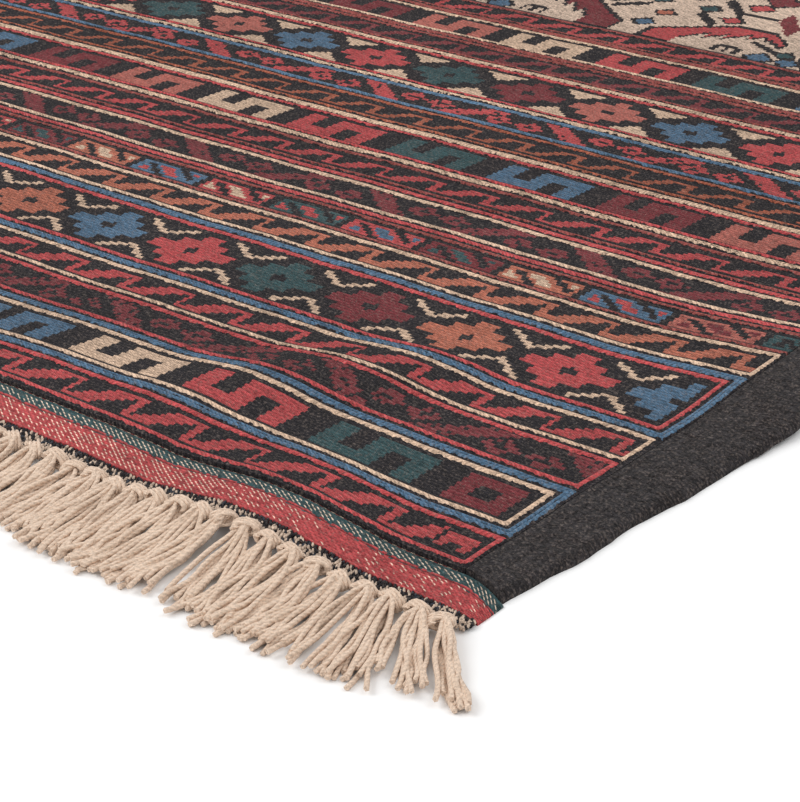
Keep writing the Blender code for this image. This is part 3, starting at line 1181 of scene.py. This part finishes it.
@dataclass
class WebWeaver:
    """One plain-woven end web, with cream warps that show as dots."""

    node: str
    yarn: Yarn
    slot: str
    rib: float = 1.5  # mm between wefts
    warp: float = 3.3  # mm between slanting lines of dots
    twill: float = 1.6  # mm that those lines lean for each mm of depth
    thickness: float = 1.8  # mm in the valleys
    crest: float = 0.35  # mm, height of a rib over them
    column: float = 6.0  # mm, spacing of the mesh columns
    stations_per_rib: int = 3

    def __post_init__(self) -> None:
        """Takes the web's depth from the frame and counts its ribs."""
        self.depth = measured_depth(f"{self.node}_front")
        self.ribs = round(self.depth / self.rib)

    def build(self, end_name: str) -> bpy.types.Object:
        """Makes the web at one end, with a rib for each pair of wefts.

        Args:
            end_name: front or back.

        Returns:
            The web's closed cloth body.
        """
        low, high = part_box(f"{self.node}_{end_name}")
        count = self.stations_per_rib * self.ribs
        from_near = np.arange(count + 1) * self.depth / count
        y = (high[1] + low[1]) / 2 - ENDS[end_name] * (from_near - self.depth / 2) * MM
        from_right = np.array(stations(0.0, WEB_WIDTH, self.column) + [WEB_WIDTH])
        x = (END_EDGE / MM - from_right) * MM
        order_x, order_y = np.argsort(x), np.argsort(y)
        across, deep = np.meshgrid(from_right[order_x], from_near[order_y])
        waves = np.abs(np.sin(math.pi * deep / self.depth * self.ribs))
        heights = self.thickness + self.crest * waves**0.7
        ends = np.minimum(np.minimum(across, WEB_WIDTH - across) / 2.5, 1.0)
        heights = heights * (0.45 + 0.55 * np.sqrt(ends))
        cloth = Cloth(f"{self.node}_{end_name}_weave", x[order_x], y[order_y], 0.0, 6)
        return cloth.build(heights * MM, np.stack([across, deep], -1) * MM)

    def dress(self) -> bpy.types.Material:
        """Makes the web's material: wefts of one colour and warp dots in slanting rows.

        Returns:
            The finished material.
        """
        red = self.node == "red_web"
        dye = Dyeing(f"{self.node}_wool")
        u, v = dye.weave_place()
        row, rise = (v / (self.depth / self.ribs)).cell()
        warp, x = ((u - v * self.twill) / self.warp).cell()
        lively = dye.chance(warp, row, 2.0)
        if red:
            worn = (dye.noise(14.0, 2.0) - 0.5) * 1.6
            fade = ((u.least(WEB_WIDTH - u) - 75.0) / 60.0).most(0.0).least(0.72)
            shown = (lively < fade * 0.9 + 0.06 + worn) * (row > 0.5)
        else:
            shown = (lively < 0.86) * row.within(1.0, self.ribs - 2.0)
        dot = (x * x * 24.0 + rise * rise * 4.2 < 0.75) * shown
        ragged = dye.chance((u / 2.2).floor(), 3.0, 9.0)
        edge = v > self.depth - ragged * 1.2 if red else v < ragged * 1.6
        colour = dye.over(dot * 0.8, CREAM, dye.over(edge, TEAL if red else MADDER, self.yarn))
        relief = crown(x, rise, 2.2, 1.5) * 0.8 + dot * 0.2
        return WoolSurface(dye, 0.0004).finish(colour, dye.chance(warp, row, 1.0), relief)


@dataclass
class SelvedgeWeaver:
    """One side selvedge: goat hair wrapped over a bundle of warps, with a rounded uneven edge."""

    side_name: str
    pitch: float = 1.25  # mm between stations
    thickness: float = 0.0047
    inset: float = 0.0008  # how far the outer edge keeps back, so that its bumps stay in
    ragged: float = 0.00032  # how far the edge wanders from wrap to wrap
    lump: float = 0.0003  # how much the height does
    wrap: float = 0.0001  # rise and fall of the wraps
    lane: float = 4.4  # mm, width of one lane of wraps
    stitch: float = 2.5  # mm, one wrap

    def build(self) -> bpy.types.Object:
        """Makes the selvedge as one closed body, flat beside the soumak and rounded at its outer edge.

        Returns:
            The finished object.
        """
        side = SIDES[self.side_name]
        low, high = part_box(f"selvedge_{self.side_name}")
        y = np.arange(low[1], high[1], self.pitch * MM)
        y[-1] = high[1]
        shares = np.append(np.linspace(0.04, 0.84, 11), [0.91, 0.96, 0.99, 1.0])
        shares = np.insert(shares, 0, 0.0)
        share, along = np.meshgrid(shares, y)
        rng = np.random.default_rng(11)
        ragged = np.convolve(rng.normal(0.0, 1.0, len(y) + 8), np.ones(9) / 3, "valid")
        reach = selvedge_reach(along) - CLEARANCE / 2 - self.inset + self.ragged * ragged[:, None]
        body = np.sqrt(np.clip(1.0 - (np.maximum(share - 0.5, 0.0) / 0.5) ** 8, 0.02, 1.0))
        body = body - 0.10 * np.maximum(0.5 - share, 0.0) / 0.5
        cords = 0.94 + 0.06 * np.abs(np.sin(math.pi * share * 4.0)) ** 0.7
        lumps = rng.normal(0.0, self.lump, (len(y), len(shares)))
        wraps = np.where(np.arange(len(y)) % 2, -self.wrap, self.wrap)[:, None] + lumps
        heights = self.thickness * body * cords + wraps * (share > 0.01) * (share < 0.995)
        heights = heights.clip(0.0006)
        placed = side * (SOUMAK_EDGE + CLEARANCE / 2 + share * reach)
        weave = np.stack([share * reach, WEAVE_END - side * along], -1)
        if side < 0:
            heights, weave, placed = heights[:, ::-1], weave[:, ::-1], placed[:, ::-1]
        cloth = SelvedgeCloth(f"selvedge_{self.side_name}_wrap", shares, y, 0.0, 4, placed)
        return cloth.build(heights, weave)

    def dress(self) -> bpy.types.Material:
        """Makes the goat-hair material: dark slanting wraps, stray hairs and painted shade in its pits.

        Returns:
            The finished material.
        """
        dye = Dyeing("selvedge_hair", 0.92, 0.05)
        u, v = dye.weave_place()
        lane, across = (u / self.lane).cell()
        wrap, along = ((v + (lane % 2.0 - 0.5) * 2.6 * (across + 0.5)) / self.stitch).cell()
        colour = dye.over((dye.noise(60.0, 3.0) - 0.45) * 1.5, EARTH, HAIR)
        colour = dye.over((dye.noise(420.0, 3.0) - 0.50) * 4.0, FELT, colour)
        # Dark pits in the felt are painted shade, where its holes fall into shadow.
        colour = dye.over((dye.noise(260.0, 2.0) - 0.57) * 7.0, PIT_SHADE, colour)
        tint = dye.chance(lane, wrap, 1.0)
        return WoolSurface(dye, 0.0018, 0.72).finish(colour, tint, crown(along, across, 2.4, 1.8))


@dataclass
class SelvedgeCloth(Cloth):
    """A strip whose columns follow an uneven edge."""

    x_place: np.ndarray = None

    def place(self, x: np.ndarray, y: np.ndarray) -> tuple[np.ndarray, np.ndarray]:
        """Columns at their own places, in increasing X."""
        return drift(self.x_place, y)


@dataclass
class GroundWeaver:
    """The warps and ground wefts under the soumak, seen from below and at the cut edges."""

    column: float = 0.011
    row: float = 0.009
    warp: float = 2.3  # mm
    weft: float = 1.3  # mm
    dark_edge: float = 4.0  # mm of hair yarn beside the selvedges

    def build(self) -> bpy.types.Object:
        """Makes the ground as one thin closed cloth.

        Returns:
            The finished object.
        """
        low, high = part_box("ground_weave")
        x = np.array(stations(low[0], high[0], self.column) + [high[0]])
        y = np.array(stations(low[1], high[1], self.row) + [high[1]])
        across, deep = np.meshgrid(x, y)
        weave = np.stack([SOUMAK_EDGE - across, WEAVE_END + deep], -1)
        return Cloth("ground_weave_cloth", x, y, 0.0, 1).build(np.full(across.shape, GROUND_TOP), weave)

    def dress(self) -> bpy.types.Material:
        """Makes the plain weave of cream warps and dark wefts.

        Returns:
            The finished material.
        """
        dye = Dyeing("ground_wool")
        u, v = dye.weave_place()
        warp, x = (u / self.warp).cell()
        weft, y = (v / self.weft).cell()
        colour = dye.over((warp + weft) % 2.0 < 0.5, CREAM, BRICK)
        colour = dye.over(u.least(SOUMAK_WIDTH - u) < self.dark_edge, HAIR, colour)
        return WoolSurface(dye, 0.0004).finish(colour, dye.chance(warp, weft, 1.0), crown(x, y))


# ------------------------------------------------------------------ geometry nodes


@dataclass(frozen=True)
class Draw:
    """Lowest and highest value of a random number, and its seed."""

    low: float
    high: float
    seed: int


class NodeBench(Tree):
    """A Geometry Nodes tree under construction."""

    def __init__(self, name: str, **inputs: float) -> None:
        """Starts a tree.

        Args:
            name: The tree's name.
            inputs: Its named inputs and their values; a whole number makes a whole-number input.
        """
        super().__init__(bpy.data.node_groups.new(name, "GeometryNodeTree"))
        face = self.tree.interface
        face.new_socket("Geometry", in_out="INPUT", socket_type="NodeSocketGeometry")
        self.values = {}
        for label, value in inputs.items():
            kind = "NodeSocketInt" if isinstance(value, int) else "NodeSocketFloat"
            self.values[face.new_socket(label, in_out="INPUT", socket_type=kind).identifier] = value
        face.new_socket("Geometry", in_out="OUTPUT", socket_type="NodeSocketGeometry")
        self.start = self.tree.nodes.new("NodeGroupInput")

    def given(self, label: str) -> Reading:
        """The tree's input of that name."""
        return Reading(self, self.start.outputs[label])

    def read(self, kind: str, output: int = 0) -> Reading:
        """An output of a node without settings."""
        return Reading(self, self.node(kind).outputs[output])

    def named(self, name: str, kind: str = "FLOAT") -> Reading:
        """An attribute of that name."""
        made = self.node("GeometryNodeInputNamedAttribute", {"data_type": kind}, {"Name": name})
        return Reading(self, next(socket for socket in made.outputs if socket.enabled))

    def draw(self, draw: Draw, key: Reading) -> Reading:
        """Draws random numbers.

        Args:
            draw: Range and seed.
            key: A whole number; equal ones give equal draws.

        Returns:
            The number.
        """
        made = self.node("FunctionNodeRandomValue", {"data_type": "FLOAT"})
        sockets = {socket.name: socket for socket in made.inputs if socket.enabled}
        for label, value in (("Min", draw.low), ("Max", draw.high), ("Seed", draw.seed)):
            sockets[label].default_value = value
        self.tree.links.new(key.socket, sockets["ID"])
        return Reading(self, next(socket for socket in made.outputs if socket.enabled))

    def store(
        self, geometry: bpy.types.NodeSocket, name: str, value: Reading, kind: str = "FLOAT"
    ) -> bpy.types.NodeSocket:
        """Stores a value on the points.

        Args:
            geometry: The points.
            name: The attribute's name.
            value: What to store.
            kind: The attribute's type.

        Returns:
            The points that carry it.
        """
        settings = {"data_type": kind, "domain": "POINT"}
        made = self.node("GeometryNodeStoreNamedAttribute", settings, {0: geometry, "Name": name})
        target = next(socket for socket in made.inputs if socket.name == "Value" and socket.enabled)
        self.tree.links.new(value.socket, target)
        return made.outputs[0]

    def cloud(self) -> bpy.types.NodeSocket:
        """The source mesh's vertices as points."""
        return self.node("GeometryNodeMeshToPoints", values={0: self.start.outputs["Geometry"]}).outputs[0]

    def scatter(
        self, points: bpy.types.NodeSocket, shape: bpy.types.NodeSocket, **pose: bpy.types.NodeSocket
    ) -> bpy.types.NodeSocket:
        """A copy of a shape on every point, with its Rotation and Scale."""
        values = {"Points": points, "Instance": shape, **pose}
        return self.node("GeometryNodeInstanceOnPoints", values=values).outputs[0]

    def yarn(self, curve: bpy.types.NodeSocket, radius: Reading, sides: int) -> bpy.types.NodeSocket:
        """Turns curves into round yarn that knows the place along it and around it.

        Args:
            curve: The curves.
            radius: Radius of the yarn.
            sides: Corners of its section.

        Returns:
            The yarn's mesh.
        """
        curve = self.store(curve, "along", self.read("GeometryNodeSplineParameter", 1))
        ring = self.node("GeometryNodeCurvePrimitiveCircle", values={"Resolution": sides, "Radius": radius})
        place = self.read("GeometryNodeInputPosition")
        section = self.store(ring.outputs[0], "around", place, "FLOAT_VECTOR")
        parts = {0: curve, 1: section, "Fill Caps": True}
        return self.node("GeometryNodeCurveToMesh", values=parts).outputs[0]

    def apply(
        self, name: str, points: bpy.types.Mesh, last: bpy.types.NodeSocket, material: bpy.types.Material
    ) -> bpy.types.Object:
        """Ends the tree, runs it on the points and keeps the plain mesh.

        Args:
            name: The piece's name.
            points: The mesh whose vertices the tree works from.
            last: The geometry to end with.
            material: The piece's finish.

        Returns:
            A new object without modifiers.
        """
        real = self.node("GeometryNodeRealizeInstances", values={0: last})
        dressed = self.node("GeometryNodeSetMaterial", values={0: real.outputs[0], "Material": material})
        self.node("NodeGroupOutput", values={0: dressed.outputs[0]})
        source = bpy.data.objects.new(f"{name}_points", points)
        bpy.context.scene.collection.objects.link(source)
        modifier = source.modifiers.new("pieces", "NODES")
        modifier.node_group = self.tree
        for identifier, value in self.values.items():
            modifier[identifier] = value
        evaluated = source.evaluated_get(bpy.context.evaluated_depsgraph_get())
        mesh = bpy.data.meshes.new_from_object(evaluated)
        mesh.name = name
        source.modifiers.clear()
        bpy.data.objects.remove(source, do_unlink=True)
        mesh.shade_smooth()
        piece = bpy.data.objects.new(name, mesh)
        bpy.context.scene.collection.objects.link(piece)
        return piece


def point_mesh(name: str, points: np.ndarray, **attributes: np.ndarray) -> bpy.types.Mesh:
    """A mesh of loose vertices with number attributes.

    Args:
        name: The mesh's name.
        points: Places, one row each.
        attributes: One number for each point, by name.

    Returns:
        The mesh.
    """
    mesh = bpy.data.meshes.new(name)
    mesh.from_pydata(points.tolist(), [], [])
    for label, values in attributes.items():
        mesh.attributes.new(label, "FLOAT", "POINT").data.foreach_set("value", values.astype(np.float32))
    return mesh


@dataclass
class EndTrim:
    """Twining, knots and tassels of one end."""

    end_name: str
    tassels: int = 118
    strands: int = 15
    strand_radius: float = 0.0012
    strand_points: int = 11
    root: float = 0.0022  # height of the strands' roots over the lie
    knot_radius: float = 0.0029
    knot_yarn: float = 0.00098
    knot_length: float = 0.0062
    knot_place: float = 0.0062  # from the end of the weave
    knot_scale: tuple[float, float] = (1.62, 0.88)  # along X and Z
    twist: float = 2100.0  # radians of the plies' turn for each metre
    stitch_pitch: float = 0.0017
    stitch_rows: int = 7
    stitch_length: float = 0.0044
    stitch_radius: float = 0.00072

    def __post_init__(self) -> None:
        """Takes the end's direction and its places from the frame."""
        self.end = ENDS[self.end_name]
        self.length = measured_depth(f"fringe_tassels_{self.end_name}") * MM
        self.rng = np.random.default_rng(7 if self.end < 0 else 8)

    def spread(self, count: int, y: float, wobble: float) -> np.ndarray:
        """Points across the end of the weave, resting on its lie.

        Args:
            count: Number of points.
            y: Their place along the warps.
            wobble: How far each strays sideways.

        Returns:
            The points, one row each.
        """
        pitch = 2 * END_EDGE / count
        x = -END_EDGE + pitch * (np.arange(count) + 0.5) + self.rng.normal(0.0, wobble, count)
        moved, along = drift(x, np.full(count, y))
        return np.stack([moved, along, lie(x, np.full(count, y))], -1)

    def build_twining(self) -> bpy.types.Object:
        """Makes rows of slanting twined stitches, navy and ivory in turn.

        Returns:
            The finished object.
        """
        depth = measured_depth(f"twining_{self.end_name}") * MM
        rows, tones, leans = [], [], []
        count = round(2 * END_EDGE / self.stitch_pitch)
        for i in range(self.stitch_rows):
            share = (i + 0.5) / self.stitch_rows
            y = self.end * (WEAVE_END - depth + (depth + 0.0022) * share)
            points = self.spread(count, y, 0.0003)
            points[:, 1] += self.rng.normal(0.0, 0.0002, count)
            points[:, 2] += 0.0014 + self.rng.uniform(0.0, 0.0005, count)
            rows.append(points)
            tones.append(self.rng.random(count) < 0.24 + 0.62 * share)
            leans.append(self.rng.normal(-1.0, 0.2, count))
        tone, lean = np.concatenate(tones), np.concatenate(leans)
        mesh = point_mesh("twining_points", np.concatenate(rows), tone=tone, lean=lean)
        bench = NodeBench(f"twining_{self.end_name}", Length=self.stitch_length, Radius=self.stitch_radius)
        ball = bench.node("GeometryNodeMeshUVSphere", values={"Segments": 5, "Rings": 4, "Radius": 1.0})
        radius = bench.given("Radius")
        size = bench.join(bench.given("Length") * 0.5, radius, radius)
        turn = bench.join(0.0, 0.0, bench.named("lean"))
        placed = bench.scatter(bench.cloud(), ball.outputs[0], Rotation=turn, Scale=size)
        return bench.apply(f"twining_{self.end_name}_stitches", mesh, placed, self.dress_twining())

    def dress_twining(self) -> bpy.types.Material:
        """Makes the twining's wool: navy and charcoal with ivory flecks.

        Returns:
            The finished material.
        """
        material = bpy.data.materials.get("twining_wool")
        if material:
            return material
        dye = Dyeing("twining_wool")
        dark = dye.over(dye.noise(260.0, 3.0) > 0.56, SLATE, INK)
        colour = dye.over(dye.attribute("tone") * 0.95, CREAM, dark)
        return WoolSurface(dye, 0.0004, 0.8).finish(colour, dye.noise(400.0), dye.noise(900.0))

    def build_knots(self) -> bpy.types.Object:
        """Makes an overhand knot for each bundle of warps.

        Returns:
            The finished object.
        """
        points = self.spread(self.tassels, self.end * (WEAVE_END + self.knot_place), 0.0006)
        points[:, 1] += self.end * np.abs(self.rng.normal(0.0, 0.0006, self.tassels))
        points[:, 2] += self.knot_radius + 0.0024
        turns = self.rng.normal(0.0, 0.45, self.tassels)
        tilt = self.rng.normal(0.14, 0.10, self.tassels)
        sizes = self.rng.uniform(0.90, 1.08, self.tassels)
        mesh = point_mesh("knot_points", points, turn=turns, tilt=tilt, size=sizes)
        bench = NodeBench(f"knots_{self.end_name}", Radius=self.knot_radius, Yarn=self.knot_yarn)
        radius = bench.given("Radius")
        coil = bench.node("GeometryNodeCurveSpiral", values={
            "Resolution": 11, "Rotations": 3.6, "Start Radius": radius, "End Radius": radius,
            "Height": self.knot_length,
        })
        middle = (0.0, 0.0, -self.knot_length / 2)
        centred = bench.node("GeometryNodeTransform", values={0: coil.outputs[0], "Translation": middle})
        tube = bench.yarn(centred.outputs[0], bench.given("Yarn"), 6)
        turn = bench.join(math.pi / 2, bench.named("tilt"), bench.named("turn"))
        size = bench.named("size")
        scale = bench.join(size * self.knot_scale[0], size * self.knot_scale[1], size)
        placed = bench.scatter(bench.cloud(), tube, Rotation=turn, Scale=scale)
        return bench.apply(f"fringe_knots_{self.end_name}_wool", mesh, placed, self.dress_warps())

    def build_tassels(self) -> bpy.types.Object:
        """Makes the plied strands of every tassel, fanned out and lying on the floor.

        Returns:
            The finished object.
        """
        points = self.spread(self.tassels, self.end * (WEAVE_END + 0.0065), 0.0005)
        from_corner = END_EDGE - np.abs(points[:, 0])
        lean = np.interp(from_corner, (0.0, 0.02, 0.05, 0.10), (0.90, 0.42, 0.10, 0.0))
        lean = np.sign(points[:, 0]) * lean + self.rng.normal(0.0, 0.075, self.tassels)
        points[:, 2] += self.root
        mesh = point_mesh("tassel_points", points, lean=lean, upright=1.0 / np.sqrt(1.0 + lean**2))
        bench = NodeBench(f"tassels_{self.end_name}", Strands=self.strands, Length=self.length,
                          Radius=self.strand_radius, Direction=float(self.end))
        kept = bench.store(bench.cloud(), "root", bench.read("GeometryNodeInputPosition"), "FLOAT_VECTOR")
        kept = bench.store(kept, "tassel", bench.read("GeometryNodeInputIndex"), "INT")
        amount = {0: kept, "Amount": bench.given("Strands")}
        copies = bench.node("GeometryNodeDuplicateElements", {"domain": "POINT"}, amount).outputs[0]
        kept = bench.store(copies, "key", bench.read("GeometryNodeInputIndex"), "INT")
        line = bench.node("GeometryNodeCurvePrimitiveLine", values={"Start": (0, 0, 0), "End": (0, 1, 0)})
        count = {0: line.outputs[0], "Count": self.strand_points}
        placed = bench.scatter(kept, bench.node("GeometryNodeResampleCurve", values=count).outputs[0])
        real = bench.node("GeometryNodeRealizeInstances", values={0: placed}).outputs[0]
        path = {0: real, "Position": self.strand_path(bench)}
        moved = bench.node("GeometryNodeSetPosition", values=path).outputs[0]
        taper = 1.0 - bench.read("GeometryNodeSplineParameter").power(5.0) * 0.6
        tapered = bench.node("GeometryNodeSetCurveRadius", values={0: moved, "Radius": taper}).outputs[0]
        tube = bench.yarn(tapered, bench.given("Radius"), 5)
        return bench.apply(f"fringe_tassels_{self.end_name}_wool", mesh, tube, self.dress_warps())

    @staticmethod
    def strand_path(bench: NodeBench) -> bpy.types.NodeSocket:
        """Place of each point of a strand: out of the knot, down to the floor and on in loose waves.

        Args:
            bench: The tree to work in.

        Returns:
            The place.
        """
        t = bench.read("GeometryNodeSplineParameter")
        key, tassel = bench.named("key", "INT"), bench.named("tassel", "INT")
        root = bench.split(bench.named("root", "FLOAT_VECTOR"))
        share = bench.draw(Draw(0.74, 0.94, 1), key) + bench.draw(Draw(-0.06, 0.04, 2), tassel)
        out = bench.given("Length") * bench.named("upright") * share * t
        bend = bench.named("lean") + bench.draw(Draw(-0.19, 0.19, 3), key)
        curl = t * t * bench.draw(Draw(-0.12, 0.12, 4), tassel)
        fan = bench.draw(Draw(-0.0074, 0.0074, 5), key) * (t * 3.0).least(1.0).power(0.6)
        start = bench.draw(Draw(-0.0013, 0.0013, 6), key)
        phase, rate = bench.draw(Draw(0.0, 6.28, 7), key), bench.draw(Draw(5.0, 13.0, 8), key)
        wave = (t * rate + phase).sine() * (t * bench.draw(Draw(0.0004, 0.0020, 9), key))
        x = root[0] + start + fan + out * (bend + curl) + wave
        y = root[1] + bench.given("Direction") * out
        fall = (1.0 - t).power(3.0)
        layer = bench.draw(Draw(0.0, 0.0046, 10), key) * (1.0 - t * 0.45)
        ripple = (t * (rate * 1.3) + phase * 1.7).sine() * 0.0005
        lift = root[2] * fall + bench.given("Radius") + (layer + ripple).most(0.0)
        return bench.join(x, y, lift)

    def dress_warps(self) -> bpy.types.Material:
        """Makes the undyed plied wool of the warps, with painted shade in the grooves between its plies.

        Returns:
            The finished material.
        """
        material = bpy.data.materials.get("plied_warps")
        if material:
            return material
        dye = Dyeing("plied_warps", 0.9, 0.12)
        fibres = dye.noise(1400.0, 3.0)
        around = dye.node("ShaderNodeAttribute", {"attribute_name": "around"}).outputs["Vector"]
        side, front, _ = dye.split(around)
        angle = side.using("ARCTAN2", front)
        ply = (dye.attribute("along") * self.twist + angle * 2.0).sine() * 0.5 + 0.5
        colour = dye.over((dye.noise(70.0, 2.0) - 0.42) * 1.2, BROWNED, CREAM)
        # The ply term darkens the colour along the twist: painted shade in the grooves between the plies.
        # It also drives the bump.
        strength = 0.34 + fibres * 0.74 + ply * 0.15
        return dye.finish(dye.shade(colour, strength), fibres * 0.6 + ply * 0.4, 0.00065)


# ------------------------------------------------------------------ stage


@dataclass
class Stage:
    """Plain pale floor, soft light and the camera."""

    floor_size: float = 14.0
    floor_grey: float = 0.93
    world_light: float = 0.75
    aim: tuple[float, float, float] = (0.35, -0.8, 0.0)
    camera_from_corner: tuple[float, float, float] = (0.4745, -0.6352, 0.474)
    heading: float = 38.6
    pitch: float = 25.4
    lens: float = 107.73

    def build(self) -> None:
        """Lays the floor, hangs the lights and sets up the camera."""
        self.lay_floor()
        self.add_light("key_light", (-1.6, -2.6, 2.6), 2.4, 62.0)
        self.add_light("fill_light", (2.6, 0.6, 2.8), 3.0, 34.0)
        world = bpy.data.worlds.new("studio")
        world.use_nodes = True
        background = world.node_tree.nodes["Background"]
        background.inputs[0].default_value = (1.0, 1.0, 1.0, 1.0)
        background.inputs[1].default_value = self.world_light
        bpy.context.scene.world = world
        bpy.context.scene.view_settings.view_transform = "Standard"
        self.add_camera()

    def lay_floor(self) -> None:
        """Lays a matt white floor under the rug."""
        mesh = bpy.data.meshes.new("floor")
        half = self.floor_size / 2
        corners = [(-half, -half, 0), (half, -half, 0), (half, half, 0), (-half, half, 0)]
        mesh.from_pydata(corners, [], [(0, 1, 2, 3)])
        material = bpy.data.materials.new("floor_paint")
        material.use_nodes = True
        shader = material.node_tree.nodes["Principled BSDF"]
        shader.inputs["Base Color"].default_value = (*[self.floor_grey] * 3, 1.0)
        shader.inputs["Roughness"].default_value = 0.9
        mesh.materials.append(material)
        floor = bpy.data.objects.new("floor", mesh)
        bpy.context.scene.collection.objects.link(floor)
        floor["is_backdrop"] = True

    def add_light(self, name: str, place: tuple[float, float, float], size: float, power: float) -> None:
        """Hangs a square soft light that faces the rug's front corner.

        Args:
            name: The light's name.
            place: Where it hangs.
            size: Its side.
            power: Its power in watts.
        """
        lamp = bpy.data.lights.new(name, "AREA")
        lamp.size = size
        lamp.energy = power
        light = bpy.data.objects.new(name, lamp)
        light.location = place
        aim = np.array(self.aim) - np.array(place)
        yaw = math.atan2(aim[0], -aim[1])
        down = math.atan2(math.hypot(aim[0], aim[1]), -aim[2])
        light.rotation_euler = (down, 0.0, yaw + math.pi)
        bpy.context.scene.collection.objects.link(light)

    def add_camera(self) -> None:
        """Sets the camera low over the front right corner."""
        camera = bpy.data.cameras.new("camera")
        camera.lens = self.lens
        camera.clip_start = 0.01
        viewer = bpy.data.objects.new("camera", camera)
        corner = (END_EDGE, -WEAVE_END, 0.0)
        viewer.location = [a + b for a, b in zip(corner, self.camera_from_corner)]
        viewer.rotation_euler = (math.radians(90.0 - self.pitch), 0.0, math.radians(self.heading))
        bpy.context.scene.collection.objects.link(viewer)
        bpy.context.scene.camera = viewer


# ------------------------------------------------------------------ assembly


@dataclass
class Rug:
    """The whole rug, piece by piece."""

    pieces: list[bpy.types.Object] = field(default_factory=list)

    def put(self, piece: bpy.types.Object, node: str, slot: str, material: bpy.types.Material) -> None:
        """Dresses a piece, rides it on the rug and hides the frame's node that it replaces.

        Args:
            piece: The finished object.
            node: The frame's node that it replaces.
            slot: The record's material slot; not used.
            material: Its finish.
        """
        piece.data.materials.clear()
        piece.data.materials.append(material)
        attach(piece, "root")
        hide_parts(node)
        self.pieces.append(piece)
        log.info("%s: %d faces", piece.name, len(piece.data.polygons))

    def build_panels(self) -> None:
        """Weaves the soumak bands of both ends and the field between them."""
        for band in BANDS:
            weaver = BandWeaver(band)
            material = weaver.dress()
            for end_name in ENDS:
                self.put(weaver.build(end_name), f"{band.name}_{end_name}", band.slot, material)
        centre = FieldWeaver()
        material = centre.dress()
        for piece in centre.build():
            self.put(piece, "centre_field", "soumak_ivory", material)

    def build_edges(self) -> None:
        """Weaves the end webs and wraps the selvedges."""
        for web in (WebWeaver("red_web", MADDER, "web_madder"), WebWeaver("green_web", TEAL, "web_teal")):
            material = web.dress()
            for end_name in ENDS:
                self.put(web.build(end_name), f"{web.node}_{end_name}", web.slot, material)
        wrappers = [SelvedgeWeaver(side_name) for side_name in SIDES]
        material = wrappers[0].dress()
        for wrapper in wrappers:
            self.put(wrapper.build(), f"selvedge_{wrapper.side_name}", "selvedge_hair", material)

    def build_fringe(self) -> None:
        """Twines both ends and ties their fringe."""
        for end_name in ENDS:
            trim = EndTrim(end_name)
            self.put(trim.build_twining(), f"twining_{end_name}", "twining", trim.dress_twining())
            self.put(trim.build_knots(), f"fringe_knots_{end_name}", "warp_wool", trim.dress_warps())
            self.put(trim.build_tassels(), f"fringe_tassels_{end_name}", "warp_wool", trim.dress_warps())

    def build_ground(self) -> None:
        """Weaves the ground cloth, which is the rug's one sheet, under all the other pieces."""
        others = list(self.pieces)
        ground = GroundWeaver()
        cloth = ground.build()
        self.put(cloth, "ground_weave", "warp_wool", ground.dress())


def main() -> None:
    """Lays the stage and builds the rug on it."""
    logging.basicConfig(level=logging.INFO, format="%(message)s")
    Stage().build()
    rug = Rug()
    rug.build_panels()
    rug.build_edges()
    rug.build_fringe()
    rug.build_ground()
    [[list(map(float, corner)) for corner in box] for box in (CAD_BOX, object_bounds())]


if __name__ == "__main__":
    main()
